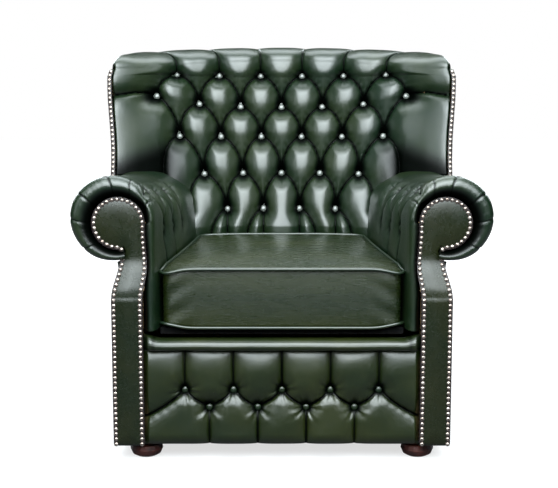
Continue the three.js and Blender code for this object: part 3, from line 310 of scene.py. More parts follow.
back_pleats = []
for p, q in back_lattice:
    for side in (-1, 1):
        into_arm = np.sign(p) == side and abs(p) < field_half
        if (p + side, q + 1) in back_lattice or into_arm:
            back_pleats += arch((p, q), (p + side, q + 1))
    if q == 0:
        back_pleats.append(((p, q), (p, -2)))
    if q == 4:
        back_pleats.append(((p, q), (p, 6)))
for side in (-1, 1):
    wing_line = [(side * p, q) for p, q in ((6, 1), (6.25, 0.85), (6.5, 0.8), (6.8, 0.87), (7.2, 0.93))]
    back_pleats += list(zip(wing_line, wing_line[1:]))


def to_pleats(u, v, pleats, soft=5):
    """Distance from each place to the pleats near it, rounded where two are equally far."""
    total = np.zeros(np.shape(u))
    for (u0, v0), (u1, v1) in pleats:
        du, dv = u1 - u0, v1 - v0
        along = unit(((u - u0) * du + (v - v0) * dv) / (du * du + dv * dv))
        total += (np.hypot(u - u0 - along * du, v - v0 - along * dv) + 1e-4) ** -soft
    return total ** (-1 / soft)


def pillow(share):
    return (1 - (1 - unit(share)) ** 2) ** 0.62


def drawn_creases(across, up, owner, seed, depth=1.0, reach=17.0):
    """Small tight creases that run out from each button, where the hide is pulled into its pit."""
    chance = np.random.default_rng(seed)
    turns = chance.uniform(0, 2 * math.pi, (owner.max() + 1, 3))
    counts = chance.integers(5, 10, owner.max() + 1)
    away = np.hypot(across, up)
    angle = np.arctan2(up, across)
    ripple = np.cos(counts[owner] * angle + turns[owner, 0])
    ripple = ripple + 0.6 * np.cos((counts[owner] + 4) * angle + turns[owner, 1])
    return depth * ripple * np.exp(-((away - 9) / reach) ** 2) * smooth(away, 4, 14)


def tufts(u, v, buttons, pleats, reach, puff, sag=0.3, tall=(1, 1), pit_reach=1.0, groove=5, groove_width=0.035):
    """Height of buttoned hide over its button line, and how much shade is painted on each place in its pleats, pits and
    hollows.

    A pleat is a narrow crease between two full pillows: the upper one slopes into it and the lower one stands up
    straight behind it, by sag. Above its button the hide is drawn in over a longer way than below, as tall says."""
    first = pillow(to_pleats(u, v, pleats) / reach)
    swell = unit(to_pleats(u, v + sag * reach * first, pleats) / reach)
    pit = np.full(np.shape(u), 1e9)
    for bu, bv in buttons:
        pit = np.minimum(pit, np.hypot(u - bu, (v - bv) * np.where(v > bv, tall[1], tall[0])))
    pit = np.maximum(pit / (reach * pit_reach) - 0.12, 0)
    owner = np.stack([np.hypot(u - bu, v - bv) for bu, bv in buttons]).argmin(0)
    full, drawn_in = 0.40 + 0.60 * pillow(swell), pillow(pit) ** 0.9
    height = puff * full * drawn_in
    height = height - groove * np.exp(-((swell * reach / groove_width) ** 2))
    # Painted shade: near black along each pleat's groove, in each button's pit and in the low places between pillows.
    fold_shade = np.maximum(0.95 - 0.95 * smooth(swell * reach / groove_width, 0.4, 1.3), 1 - smooth(pit, 0.05, 0.4))
    fold_shade = np.maximum(fold_shade, 0.97 - 0.97 * smooth(full, 0.38, 0.58) * smooth(drawn_in, 0.38, 0.80))
    return height, fold_shade, owner


def back_edge_x(z):
    return mix(between_arms, wing_outline_x(z) - wing_rim, unit((z - button_rows[3]) / 15))


def back_place(p, q):
    inner_p = np.clip(p, -field_half, field_half)
    x, z = lattice_point(inner_p, q)
    z = np.where(q > 4, mix(z, tuck_line, unit((q - 4) / 2)), z)
    inner, out = np.abs(x), np.maximum(np.abs(p) - field_half, 0)
    top = crest_height(mix(inner, back_edge_x(z), out)) - crest_rise
    z = np.where(q < 0, mix(z, top, unit(-q)), z)
    return np.sign(p) * mix(inner, back_edge_x(z), out), z


def rear_outline(x, z):
    """Plan of the crest's rear seam: along the outside back, round a corner and forward to the wing's rim."""
    away, side = np.abs(x), np.sign(x)
    rear = outside_back_y(z)
    side_x = wing_outline_x(z) - wing_rim / 4
    corner_x = side_x - crest_turn
    along = unit((away - crest_straight) / (wing_outline_x(z) - wing_rim - crest_straight))
    angle = unit(along / 0.25) * math.pi / 2
    rest = unit((along - 0.25) / 0.75)
    straight_x = away * corner_x / crest_straight
    turn_x = np.where(away <= crest_straight, straight_x, corner_x + crest_turn * np.sin(angle))
    turn_y = rear - crest_turn * (1 - np.cos(angle))
    rim = inside_back_y(side_x, z) + back_padding
    return side * turn_x, mix(turn_y, rim, rest)


def wavy(x, z, seed, size, depth):
    """Slow unevenness of stuffing under the hide, the same at every run."""
    chance = np.random.default_rng(seed)
    height = np.zeros(np.shape(x))
    waves = chance.uniform(0, math.pi, 7), chance.uniform(0, 6.28, 7), chance.uniform(0.6, 1.7, 7)
    for turn, phase, share in zip(*waves):
        height = height + np.sin((x * math.cos(turn) + z * math.sin(turn)) * share * 6.28 / size + phase)
    return height * depth / 4


def stitched(name, outer, lining, fold_shade, material):
    """A closed piece between an outer and an inner grid of points, zipped together round their edges."""
    outer, lining = np.asarray(outer, float), np.asarray(lining, float)
    (rows, columns), (rows2, columns2) = outer.shape[:2], lining.shape[:2]
    points = np.concatenate([outer.reshape(-1, 3), lining.reshape(-1, 3)])
    top = np.arange(rows * columns).reshape(rows, columns)
    under = np.arange(rows2 * columns2).reshape(rows2, columns2) + rows * columns
    faces = []
    for grid, turned in ((top, False), (under, True)):
        quads = np.stack([grid[:-1, :-1], grid[1:, :-1], grid[1:, 1:], grid[:-1, 1:]], -1).reshape(-1, 4)
        faces += (quads[:, ::-1] if turned else quads).tolist()
    rims = [(grid[:, 0], grid[::-1, -1], grid[-1], grid[0, ::-1]) for grid in (top, under)]
    for upper, lower in zip(*rims):
        a, b, last, end = 0, 0, len(upper) - 1, len(lower) - 1
        while a < last or b < end:
            if b == end or (a < last and (a + 1) / last <= (b + 1) / end):
                faces.append((upper[a + 1], upper[a], lower[b]))
                a += 1
            else:
                faces.append((upper[a], lower[b], lower[b + 1]))
                b += 1
    # The outer grid carries its painted shade; the lining gets none.
    fold_shades = np.concatenate([np.ravel(fold_shade), np.zeros(under.size)])
    return made_of(name, points, [tuple(map(int, f)) for f in faces], material, fold_shades)


def made_of(name, points, faces, material, fold_shade=None):
    """A closed piece from points in millimetres, with the painted shade of its hide where one is given."""
    mesh = bpy.data.meshes.new(name)
    mesh.from_pydata((points * 0.001).tolist(), [], faces)
    if fold_shade is not None:
        shade = mesh.attributes.new("fold_shade", "FLOAT", "POINT")
        shade.data.foreach_set("value", fold_shade.astype(np.float32))
    return settled(name, mesh, material)


def settled(name, mesh, material):
    """Makes an object of a mesh, at the origin, smooth and with its faces turned out."""
    work = bmesh.new()
    work.from_mesh(mesh)
    bmesh.ops.remove_doubles(work, verts=work.verts, dist=1e-6)
    bmesh.ops.recalc_face_normals(work, faces=work.faces)
    if work.calc_volume(signed=True) < 0:
        bmesh.ops.reverse_faces(work, faces=work.faces)
    work.to_mesh(mesh)
    work.free()
    mesh.shade_smooth()
    mesh.materials.append(material)
    made = bpy.data.objects.new(name, mesh)
    scene.collection.objects.link(made)
    return made


step = 1 / 27
columns = np.arange(-7, 7 + step / 2, step)
rows = np.arange(6, -1 - step / 2, -step)
p_grid, q_grid = np.meshgrid(columns, rows)
tall_rows = np.array([1, row_stretch])
rows_apart = [tuple(place * tall_rows) for place in np.array(back_lattice)]
pleats_apart = [(start * tall_rows, end * tall_rows) for start, end in np.array(back_pleats)]
# The second of these is the painted shade in the back's pleats and pits.
height, back_fold_shade, owner = tufts(p_grid, q_grid * row_stretch, rows_apart, pleats_apart, 0.8, back_puff + pit_depth,
                                 sag=0.2, tall=(0.42, 1.15))
x_grid, z_grid = back_place(p_grid, q_grid)
button_x, button_z = lattice_point(*np.array(back_lattice, float).T)
height = height + drawn_creases(x_grid - button_x[owner], z_grid - button_z[owner], owner, 4)
height = height - pit_depth + wavy(x_grid, z_grid, 7, 150, 0.6)
from_rim = np.abs(back_edge_x(z_grid) - np.abs(x_grid))
height = height - 18 * (1 - pillow(from_rim / 60)) * smooth(z_grid, 600, 660)
# Painted shade: the wings are darkened near black where they come down on the arms.
over_arm = z_grid - 655 - 30 * unit((from_rim - 20) / 90)
back_fold_shade = np.maximum(back_fold_shade, 0.9 * (1 - smooth(over_arm, -10, 50)) * smooth(np.abs(x_grid), 250, 330))
back_front = joined(x_grid, inside_back_y(x_grid, z_grid) + back_puff - height, z_grid)
seam_front, seam_fold_shade = back_front[-1], back_fold_shade[-1]
channel = unit(height[-1] / back_puff)
crest, crest_fold_shade = [], []
# Painted shade: the pleats' shade fades out over the crest, and the hem turned under it is painted a little dark.
for share in np.linspace(0, 1, 26)[1:]:
    over, hump = (1 - math.cos(math.pi * share)) / 2, math.sin(math.pi * share)
    x, z = seam_front[:, 0], seam_front[:, 2]
    rear_x, rear_y = rear_outline(x, z)
    rise = crest_rise * hump * corner_share(x) * (0.88 + 0.12 * channel)
    crest.append(joined(mix(x, rear_x, over), mix(seam_front[:, 1], rear_y, over), z + rise))
    crest_fold_shade.append(seam_fold_shade * (1 - smooth(share, 0.1, 0.5)))
seam, plan = crest[-1], np.gradient(crest[-1], axis=0)
outward = joined(-plan[:, 1], plan[:, 0], 0)
outward *= np.sign(outward[len(outward) // 2, 1]) / np.maximum(np.linalg.norm(outward, axis=1, keepdims=True), 1e-6)
for drop in (3, 8, 14):
    crest.append(seam + outward * 3 * math.sin(1 + drop / 14 * 2.1) - [0, 0, drop])
    crest_fold_shade.append(0 * seam_fold_shade + 0.3)
back_outer = np.concatenate([back_front, crest])
lining_rows = list(range(0, len(rows), 13)) + [len(rows) - 1 + k for k in (0, 6, 12, 18, 24)]
back_lining = back_outer[np.unique(lining_rows)][:, ::14].copy()
back_lining[..., 1] = np.minimum(back_lining[..., 1] + 34, outside_back_y(back_lining[..., 2]) - 6)
back_lining[..., 2] -= 12 * (back_lining[..., 2] > 930)
back_lining[..., 0] *= 0.985
back_hide = hide("back_hide", matt=0.32)
tufted_back = stitched("tufted_back", back_outer, back_lining, np.concatenate([back_fold_shade, crest_fold_shade]), back_hide)
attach(tufted_back, "chair")
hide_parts("inside_back")


# ---------------------------------------------------------------- Buttons
# Covered buttons: a disc of the same hide stretched over a low metal dome and pulled tight on waxed twine. On the back
# the buttons are coloured a paler grey than the hide, as a painted sheen.
def dome_bench(name, radius, rise, seed, segments, rings, spacing=0.0):
    """Geometry Nodes that set a low dome on every point, or at every step of a path, facing where each place says."""
    tree = bpy.data.node_groups.new(name, "GeometryNodeTree")
    bench = Craft(tree)
    inputs = {"Places": ("Geometry", None), "Radius": ("Float", radius), "Rise": ("Float", rise), "Seed": ("Int", seed),
              "Spacing": ("Float", spacing), "Material": ("Material", None)}
    for words, (kind, value) in inputs.items():
        socket = tree.interface.new_socket(name=words, in_out="INPUT", socket_type=f"NodeSocket{kind}")
        if value is not None:
            socket.default_value = value
    tree.interface.new_socket(name="Geometry", in_out="OUTPUT", socket_type="NodeSocketGeometry")
    given = bench.node("NodeGroupInput")
    ball = {"Segments": segments, "Rings": rings, "Radius": given.out("Radius")}
    flat = bench.node("ShaderNodeCombineXYZ", {"X": 1.0, "Y": 1.0, "Z": given.out("Rise")})
    low = {"Geometry": bench.node("GeometryNodeMeshUVSphere", ball), "Scale": flat}
    seats = {"Instance": bench.node("GeometryNodeTransform", low)}
    facing = bench.node("GeometryNodeInputNamedAttribute", {"Name": "facing"}, data_type="FLOAT_VECTOR")
    if spacing:
        path = bench.node("GeometryNodeMeshToCurve", {"Mesh": given.out("Places")})
        steps = {"Curve": path, "Length": given.out("Spacing")}
        seats["Points"] = bench.node("GeometryNodeResampleCurve", steps, mode="LENGTH")
        shake = {"Min": (-0.12, -0.12, -0.12), "Max": (0.12, 0.12, 0.12), "Seed": given.out("Seed")}
        uneven = bench.node("FunctionNodeRandomValue", shake, data_type="FLOAT_VECTOR")
        facing = bench.node("ShaderNodeVectorMath", {0: facing, 1: uneven}, operation="ADD")
    else:
        seats["Points"] = bench.node("GeometryNodeMeshToPoints", {"Mesh": given.out("Places")})
        sizes = {"Min": 0.94, "Max": 1.06, "Seed": given.out("Seed")}
        seats["Scale"] = bench.node("FunctionNodeRandomValue", sizes, data_type="FLOAT")
    seats["Rotation"] = bench.node("FunctionNodeAlignRotationToVector", {"Vector": facing}, axis="Z")
    made = bench.node("GeometryNodeInstanceOnPoints", seats)
    made = bench.node("GeometryNodeRealizeInstances", {"Geometry": made})
    made = bench.node("GeometryNodeSetShadeSmooth", {"Geometry": made})
    made = bench.node("GeometryNodeSetMaterial", {"Geometry": made, "Material": given.out("Material")})
    bench.feed(tree.nodes.new("NodeGroupOutput"), "Geometry", made)
    return tree


def grown(name, points, facings, tree, links=(), **settings):
    """Runs a Geometry Nodes tree on points, or on the path that links them, and keeps the plain mesh it makes."""
    seeds = bpy.data.meshes.new(name + "_places")
    seeds.from_pydata((np.asarray(points) * 0.001).tolist(), links, [])
    facing = seeds.attributes.new("facing", "FLOAT_VECTOR", "POINT")
    facing.data.foreach_set("vector", np.ravel(np.broadcast_to(np.asarray(facings, np.float32), np.shape(points))))
    carrier = bpy.data.objects.new(name + "_places", seeds)
    scene.collection.objects.link(carrier)
    worker = carrier.modifiers.new("bench", "NODES")
    worker.node_group = tree
    for item in tree.interface.items_tree:
        if item.item_type == "SOCKET" and item.in_out == "INPUT" and item.name in settings:
            worker[item.identifier] = settings[item.name]
    bpy.context.view_layer.update()
    mesh = bpy.data.meshes.new_from_object(carrier.evaluated_get(bpy.context.evaluated_depsgraph_get()))
    mesh.name = name
    made = bpy.data.objects.new(name, mesh)
    scene.collection.objects.link(made)
    bpy.data.objects.remove(carrier)
    return made


buttons_tree = dome_bench("covered_buttons", 0.0095, 0.62, 5, 20, 12)
# Painted sheen: a paler grey-green than the hide, so the back's buttons read as bright.
button_sheen_hide = Finish("button_sheen_hide", base_color=(0.060, 0.066, 0.058, 1), roughness=0.3,
                     coat_weight=0.6, coat_roughness=0.15)
rake = math.atan(back_rake)
places = joined(button_x, inside_back_y(button_x, button_z) + back_puff + 20, button_z)
back_buttons = grown("back_buttons", places, (0, -math.cos(rake), math.sin(rake)), buttons_tree,
                     Material=button_sheen_hide.material)
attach(back_buttons, "chair")


# ---------------------------------------------------------------- Scroll arms
# A hide drawn over a stuffed roll and down the inside of each arm, with a few buttons of its own. In front it
# turns in to the facing as a rounded collar, and the slack round the scroll is gathered into radial pleats. Its
# collar follows the facing and its inner side the cushion, so some of their sizes stand here.
roll_x, roll_z, roll_drop, roll_run = 398, 586, 40, 513
roll_radius, inner_axis_x = (102, 94), 368
facing_x, facing_z, facing_radius, plinth_top = 386, 574, 63, 396
scroll_face, collar_face, collar_draw, collar_steps = -405, -393, 32, 29
arm_rear, shoulder_run, shoulder_lean = outside_back_y(roll_z), 835, 20
cushion_front, cushion_rear = -403, 144
cushion_front_half, cushion_rear_half = 288, 222
deck_top = 318
arm_puff, arm_pitch = 17, 116
arm_upper = [(2.5, k) for k in (0.6, 1.6, 2.6, 3.6)]
arm_lower = [(5.5, k) for k in (1.1, 2.1, 3.1)]
arm_step = 42


def roll_level(y):
    return roll_z - roll_drop * np.sin(unit((y - scroll_face) / roll_run) * math.pi / 2)


def cushion_side_x(y):
    forward = unit((cushion_rear - y) / (cushion_rear - cushion_front))
    return mix(cushion_rear_half, cushion_front_half, forward ** 1.25)


def neck_inner_x(z):
    """The facing's inner edge: straight up the plinth, in a little at the waist and out to the disc."""
    return mix(mix(319, 329, 1 - smooth(z, plinth_top, 470)), 323, smooth(z, 470, 560))


def scroll_turn(s):
    return np.where(s < 9, -90 + 20 * s, 90 + 18 * (np.minimum(s, 14) - 9)) * math.pi / 180


def arm_surface(s, y):
    """The arm's hide: s runs from under the roll (0) over its top (9) and its shoulder (14) to the seat (19)."""
    radius = mix(*roll_radius, unit((y - scroll_face) / (arm_rear - scroll_face)))
    inner = cushion_side_x(y) + 9
    shoulder = inner + shoulder_lean * unit((y - scroll_face) / shoulder_run)
    angle = scroll_turn(s)
    reach = np.where(s < 9, radius, roll_x - shoulder)
    level = roll_level(y)
    down = unit((s - 14) / 5)
    z = np.where(s > 14, mix(level, deck_top, down), level + radius * np.sin(angle))
    x = np.where(s > 14, mix(shoulder, inner, np.sqrt(down)), roll_x + reach * np.cos(angle))
    return joined(x, y, z)


def round_the_facing(s):
    """Where the collar is tacked: round the facing's disc and down its neck."""
    angle = scroll_turn(s)
    z = np.where(s > 14, mix(facing_z, deck_top, (s - 14) / 5), facing_z + (facing_radius + 2) * np.sin(angle))
    disc = facing_x + np.where(s < 9, facing_radius + 2, facing_radius + 4.5) * np.cos(angle)
    return joined(np.where(s > 14, neck_inner_x(z) + 0.6, disc), 0, z)


def grid_normals(grid):
    across, down = np.gradient(grid, axis=1), np.gradient(grid, axis=0)
    normal = np.cross(across, down)
    return normal / np.maximum(np.linalg.norm(normal, axis=-1, keepdims=True), 1e-9)


s_steps = np.linspace(-0.8, 19, 313)
collar_turns = np.linspace(0, math.pi, collar_steps + 1)[:-1]
along_arm = np.linspace(collar_face, arm_rear + 4, 176)
y_steps = np.concatenate([collar_face - collar_draw * np.sin(collar_turns), along_arm])
drawn_steps = np.concatenate([0.485 + 0.485 * np.cos(collar_turns), np.zeros(len(along_arm))])
s_grid, y_grid = np.meshgrid(s_steps, y_steps)
drawn = drawn_steps[:, None, None]
arm_base = arm_surface(s_grid, y_grid)
tacked = round_the_facing(s_grid)
tacked[..., 1] = arm_base[..., 1]
arm_base = mix(arm_base, tacked, drawn)

arm_u = (s_grid - 9) * arm_step
arm_marks = [(s * arm_step, scroll_face + arm_pitch * k) for s, k in arm_upper + arm_lower]
arm_folds = [((2.5 * arm_step, scroll_face + 0.6 * arm_pitch), (2.9 * arm_step, scroll_face))]
for upper in arm_marks[:len(arm_upper)]:
    arm_folds += [(upper, lower) for lower in arm_marks[len(arm_upper):] if abs(lower[1] - upper[1]) < 0.6 * arm_pitch]
for u, v in arm_marks[len(arm_upper):][:2]:
    arm_folds.append(((u, v), (10.5 * arm_step, v)))
# The second of these is the painted shade in the arm's pleats and pits.
arm_height, arm_fold_shade, arm_owner = tufts(arm_u, y_grid, arm_marks, arm_folds, 62, arm_puff,
                                        sag=0.0, pit_reach=0.8, groove=2, groove_width=2.5)
arm_along = y_grid < scroll_face + 4.4 * arm_pitch
over_roll = smooth(arm_u, 30, 110)
arm_height = np.where(arm_along, (arm_height - arm_puff) * over_roll, 0)
arm_height = arm_height * mix(1, 0.3, smooth(arm_u, 236, 330))
arm_fold_shade = arm_fold_shade * arm_along * over_roll
marks = np.array(arm_marks)
arm_height = arm_height + drawn_creases(arm_u - marks[arm_owner, 0], y_grid - marks[arm_owner, 1], arm_owner, 9)
arm_height = arm_height + wavy(arm_u, y_grid, 3, 150, 1.5)

collar_pleats = [(2.3, 2.6), (4.6, 2.4), (6.6, 3.0), (8.9, 2.8), (10.4, 2.6), (12.4, 2.6)]
behind, row = y_steps - collar_face, np.arange(len(y_steps))
round_collar = np.sin(unit(row / collar_steps) * 1.9 + 0.35)
gather = np.where(row < collar_steps, round_collar, 0.9 * np.exp(-behind / 30.0))
collar_cut = np.zeros_like(s_grid)
for place, depth in collar_pleats:
    middle = place + 0.3 * np.sin(place * 2.7) * np.exp(-behind ** 2 / 900.0)[:, None]
    off = (s_grid - middle) / 0.07
    cutting = np.where(off > 0, np.exp(-off ** 2 / 0.7), np.exp(-off ** 2 / 5.0))
    collar_cut = np.maximum(collar_cut, 0.7 * depth * cutting * gather[:, None])
chance = np.random.default_rng(2)
waves = zip((3, 5, 7, 9), chance.uniform(0, 6, 4))
wrinkle = sum(np.sin(s_grid * k * 3.1 + phase + 0.02 * y_grid) / k for k, phase in waves)
arm_height = arm_height + 0.3 * wrinkle * gather[:, None] * smooth(s_grid, 1.0, 3.0) * smooth(-s_grid, -15.0, -13.0)
arm_height = arm_height - collar_cut
# Painted shade: dark in the collar's pleats, and near black where the collar turns in to the facing.
arm_fold_shade = unit(arm_fold_shade + smooth(collar_cut, 1.0, 2.0) * 0.8)
arm_fold_shade = np.maximum(arm_fold_shade, 0.95 * smooth(drawn[..., 0], 0.4, 0.85))
arm_out = grid_normals(arm_base)
arm_out = arm_out * (1 if arm_out[60, 95, 2] > 0 else -1)
arm_outer = arm_base + arm_out * arm_height[..., None]
arm_outer[..., 1] = np.minimum(arm_outer[..., 1], outside_back_y(arm_outer[..., 2]) - 7)

arm_lining = arm_outer[::15, ::13].copy()
below_roll = s_grid[::15, ::13] > 14
core_x = np.where(below_roll, inner_axis_x, roll_x)
core_z = np.where(below_roll, arm_lining[..., 2], roll_level(arm_lining[..., 1]))
arm_lining[..., 1] = np.maximum(arm_lining[..., 1], collar_face + 5)
arm_lining[..., 0] = mix(arm_lining[..., 0], core_x, 0.6)
arm_lining[..., 2] = mix(arm_lining[..., 2], core_z, 0.6)
mark_s = marks[:, 0] / arm_step + 9
mark_surface = arm_surface(mark_s, marks[:, 1])
mark_after = arm_surface(mark_s + 0.05, marks[:, 1]) - mark_surface
mark_out = joined(mark_after[:, 2], 0, -mark_after[:, 0])
mark_out /= np.linalg.norm(mark_out, axis=1, keepdims=True)
arm_seats = mark_surface - mark_out * (arm_puff - 3)
hands = {"right": np.array([1, 1, 1]), "left": np.array([-1, 1, 1])}
for hand, flip in hands.items():
    pad = stitched(f"scroll_arm_{hand}", arm_outer * flip, arm_lining * flip, arm_fold_shade, soft_hide)
    buttons = grown(f"arm_buttons_{hand}", arm_seats * flip, mark_out * flip, buttons_tree, Material=soft_hide)
    for piece in (pad, buttons):
        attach(piece, "chair")
    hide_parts(f"arm_pad_{hand}")


# ---------------------------------------------------------------- Facings
# Studded boards on the fronts of the arms: a disc over the scroll, a narrow neck and a plinth down to the base,
# covered in hide, edged with a dark brown band and close-nailed with domed antique studs.
plinth_face, facing_thickness = -435, 12
neck_outer, plinth_outer, foot_top = 381, 402, 40


def facing_front(z):
    ledge = 3.0 * smooth(z, plinth_top + 2, plinth_top + 5)
    return mix(plinth_face, scroll_face, smooth(z, plinth_top + 8, 500)) + ledge * smooth(-z, -470, -430)


def facing_outline(inset=0.0):
    """The board's edge in the plane of its face, from the inner foot over the scroll to the outer foot."""
    low = np.linspace(foot_top, 560, 105)
    turn = np.linspace(math.pi, -math.pi / 2, 110)
    disc = joined(facing_x + facing_radius * np.cos(turn), facing_z + facing_radius * np.sin(turn))
    high = np.linspace(507, foot_top, 95)
    outer = mix(neck_outer, plinth_outer, 1 - smooth(high, plinth_top, 500))
    edge = np.concatenate([joined(neck_inner_x(low), low), disc, joined(outer, high)])
    along = np.gradient(edge, axis=0)
    along /= np.linalg.norm(along, axis=1, keepdims=True)
    return edge + joined(along[:, 1], -along[:, 0]) * inset


def to_edge(x, z, loop):
    """Distance from each place to a closed outline."""
    nearest = np.full(np.shape(x), 1e9)
    for (x0, z0), (x1, z1) in zip(loop, np.roll(loop, -1, axis=0)):
        dx, dz = x1 - x0, z1 - z0
        along = unit(((x - x0) * dx + (z - z0) * dz) / max(dx * dx + dz * dz, 1e-9))
        nearest = np.minimum(nearest, np.hypot(x - x0 - along * dx, z - z0 - along * dz))
    return nearest


def board(name, loop, pitch, face, thickness, flip, material):
    """A closed board: its outline and a grid inside it are triangulated, face gives its front from x, z and how
    far in a place is, and the edge is drawn back by the thickness."""
    low, high = loop.min(0), loop.max(0)
    x, z = np.meshgrid(np.arange(low[0], high[0], pitch), np.arange(low[1], high[1], pitch))
    inside = to_edge(x, z, loop)
    crossed = np.zeros(x.shape, int)
    for (x0, z0), (x1, z1) in zip(loop, np.roll(loop, -1, axis=0)):
        spans = (z0 > z) != (z1 > z)
        with np.errstate(divide="ignore", invalid="ignore"):
            crossed += spans & (x < (x1 - x0) * (z - z0) / (z1 - z0) + x0)
    kept = (crossed % 2 == 1) & (inside > pitch * 0.6)
    flat = np.concatenate([loop, joined(x[kept], z[kept])])
    count = len(loop)
    ring = [(k, (k + 1) % count) for k in range(count)]
    made = delaunay_2d_cdt([Vector(p) for p in flat], ring, [], 1, 1e-6)
    flat, triangles = np.array([tuple(v) for v in made[0]]), made[2]
    depth = to_edge(flat[:, 0], flat[:, 1], loop)
    front = joined(flat[:, 0], face(flat[:, 0], flat[:, 1], depth), flat[:, 1])
    rear = front * [1, 0, 1] + np.outer(face(flat[:, 0], flat[:, 1], 0 * depth) + thickness, [0, 1, 0])
    total = len(flat)
    faces = [tuple(t) for t in triangles] + [tuple(k + total for k in t[::-1]) for t in triangles]
    sides = dict.fromkeys(pair for t in triangles for pair in zip(t, (*t[1:], t[0])))
    faces += [(b, a, a + total, b + total) for a, b in sides if (b, a) not in sides]
    return made_of(name, np.concatenate([front, rear]) * flip, faces, material)


facing_hide = hide("facing_hide", grain=1.2, rubbed=0.9, matt=0.25, ior=1.36,
                   deep=(0.0023, 0.0056, 0.0010), worn_to=(0.0090, 0.0098, 0.0014))
band_hide = Finish("band_hide", base_color=(0.010, 0.005, 0.005, 1), roughness=0.5)
band_hide.dress(normal=band_hide.relief(band_hide.noise(300.0), 0.0004, 0.6))
stud_metal = Finish("antique_stud", metallic=0.92)
stud_cloud = stud_metal.noise(260.0, 4.0).between(0.35, 0.7)
stud_metal.dress(base_color=stud_metal.blend(stud_cloud, (0.16, 0.12, 0.10), (0.50, 0.44, 0.39)),
                 roughness=0.2 + 0.16 * stud_cloud)
studs_tree = dome_bench("close_nailing", 0.0053, 0.6, 11, 10, 6, 0.0124)


def nailed(name, path, facings):
    """A row of studs along a path."""
    links = [(k, k + 1) for k in range(len(path) - 1)]
    studs = grown(name, path, facings, studs_tree, links, Material=stud_metal.material)
    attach(studs, "chair")


def ribbon(name, path, facings, width, thick, material):
    """A flat band along a path of points, standing a little proud of what it is glued to."""
    path, facings = np.asarray(path, float), np.asarray(facings, float)
    along = np.gradient(path, axis=0)
    along /= np.linalg.norm(along, axis=1, keepdims=True)
    side = np.cross(along, facings)
    side /= np.linalg.norm(side, axis=1, keepdims=True)
    profile = [(-1, -1), (-1, 0.4), (-0.8, 1), (0.8, 1), (1, 0.4), (1, -1)]
    rings = np.stack([path + side * width / 2 * a + facings * thick * b for a, b in profile], 1)
    count = len(profile)
    around = [(j, (j + 1) % count) for j in range(count)]
    last = count * (len(path) - 1)
    faces = [(i + j, i + k, i + count + k, i + count + j) for i in range(0, last, count) for j, k in around]
    faces += [tuple(range(count))[::-1], tuple(range(last, last + count))]
    made = made_of(name, rings.reshape(-1, 3), faces, material)
    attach(made, "chair")


def facing_face(x, z, depth):
    padded = 2.6 * (1 - np.exp(-depth / 2.5)), 7.5 * np.sin(unit(depth / 46) * math.pi / 2)
    return facing_front(z) - padded[0] - padded[1] + 2.6


nail_edge = facing_outline(5.8)
nail_line = joined(nail_edge[:, 0], facing_front(nail_edge[:, 1]), nail_edge[:, 1])[1:-1]
nail_line = nail_line[np.r_[True, np.linalg.norm(np.diff(nail_line, axis=0), axis=1) > 0.4]]
for hand, flip in hands.items():
    face_board = board(f"facing_{hand}", facing_outline(), 5.0, facing_face, facing_thickness, flip, facing_hide)
    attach(face_board, "chair")
    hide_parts(f"arm_facing_{hand}")
    out = (0.0, -1.0, 0.0)
    ribbon(f"facing_band_{hand}", (nail_line - [0, 1.2, 0]) * flip, out, 12.5, 0.9, band_hide.material)
    nailed(f"facing_studs_{hand}", (nail_line - [0, 2.4, 0]) * flip, out)

wing_z = np.linspace(600, 912, 60)
wing_x = wing_outline_x(wing_z) - 6
wing_studs = joined(wing_x, inside_back_y(wing_x - 6, wing_z) + 0.5, wing_z)
for hand, flip in hands.items():
    out = [0.25, -1.0, 0.3] * flip / 1.074
    ribbon(f"wing_band_{hand}", wing_studs * flip, out, 11.5, 1.4, band_hide.material)
    nailed(f"wing_studs_{hand}", wing_studs * flip + out * 1.2, out)


# ---------------------------------------------------------------- Seat cushion
# A loose box cushion: hide panels sewn with piped seams over a crowned foam core, closed by a zip behind. Foam
# pushes the panels out between the seams, so each face swells and the front face creases at its corners.
cushion_low, cushion_high = 318.3, 468.3
cushion_corner = 26
piping_radius = 4


def cushion_rear_y(x):
    return np.minimum(cushion_rear, inside_back_y(x, seat_line) - 9)


def cushion_plan(inset, count=220):
    """Outline of the cushion seen from above, evenly stepped, from the middle of the front round its right side."""
    front, corner = cushion_front + inset, cushion_front_half - cushion_corner - inset / 2
    half = [(0, front), (144, front), (corner, front)]
    for a in np.linspace(0.15, 1, 6) * math.pi / 2:
        half.append((corner + (cushion_corner - inset / 2) * math.sin(a), front + cushion_corner * (1 - math.cos(a))))
    end = float(cushion_rear_y(float(cushion_rear_half))) - 13
    for y in np.linspace(front + cushion_corner + 12, end - inset, 14):
        half.append((float(cushion_side_x(y)) - inset, y))
    for share, drawn in ((0.985, 8), (0.955, 3), (0.9, 0.5), (0.75, 0), (0.45, 0), (0.2, 0)):
        x = cushion_rear_half * share - inset
        half.append((x, float(cushion_rear_y(x)) - inset - drawn))
    half.append((0, float(cushion_rear_y(0.0)) - inset))
    loop = np.array(half + [(-x, y) for x, y in half[1:-1][::-1]] + [half[0]])
    gone = np.r_[0, np.cumsum(np.linalg.norm(np.diff(loop, axis=0), axis=1))]
    at = np.linspace(0, gone[-1], count + 1)[:-1]
    return joined(np.interp(at, gone, loop[:, 0]), np.interp(at, gone, loop[:, 1]))


def pinched(x, y, z):
    """The cushion is drawn in at its corners, where its boxing is sewn round."""
    corner = smooth(np.abs(x), 190, 288) ** 2 * np.maximum(smooth(-y, 330, 405), smooth(y, 60, 140))
    middle = (cushion_low + cushion_high) / 2
    return middle + (z - middle) * (1 - 0.15 * corner)


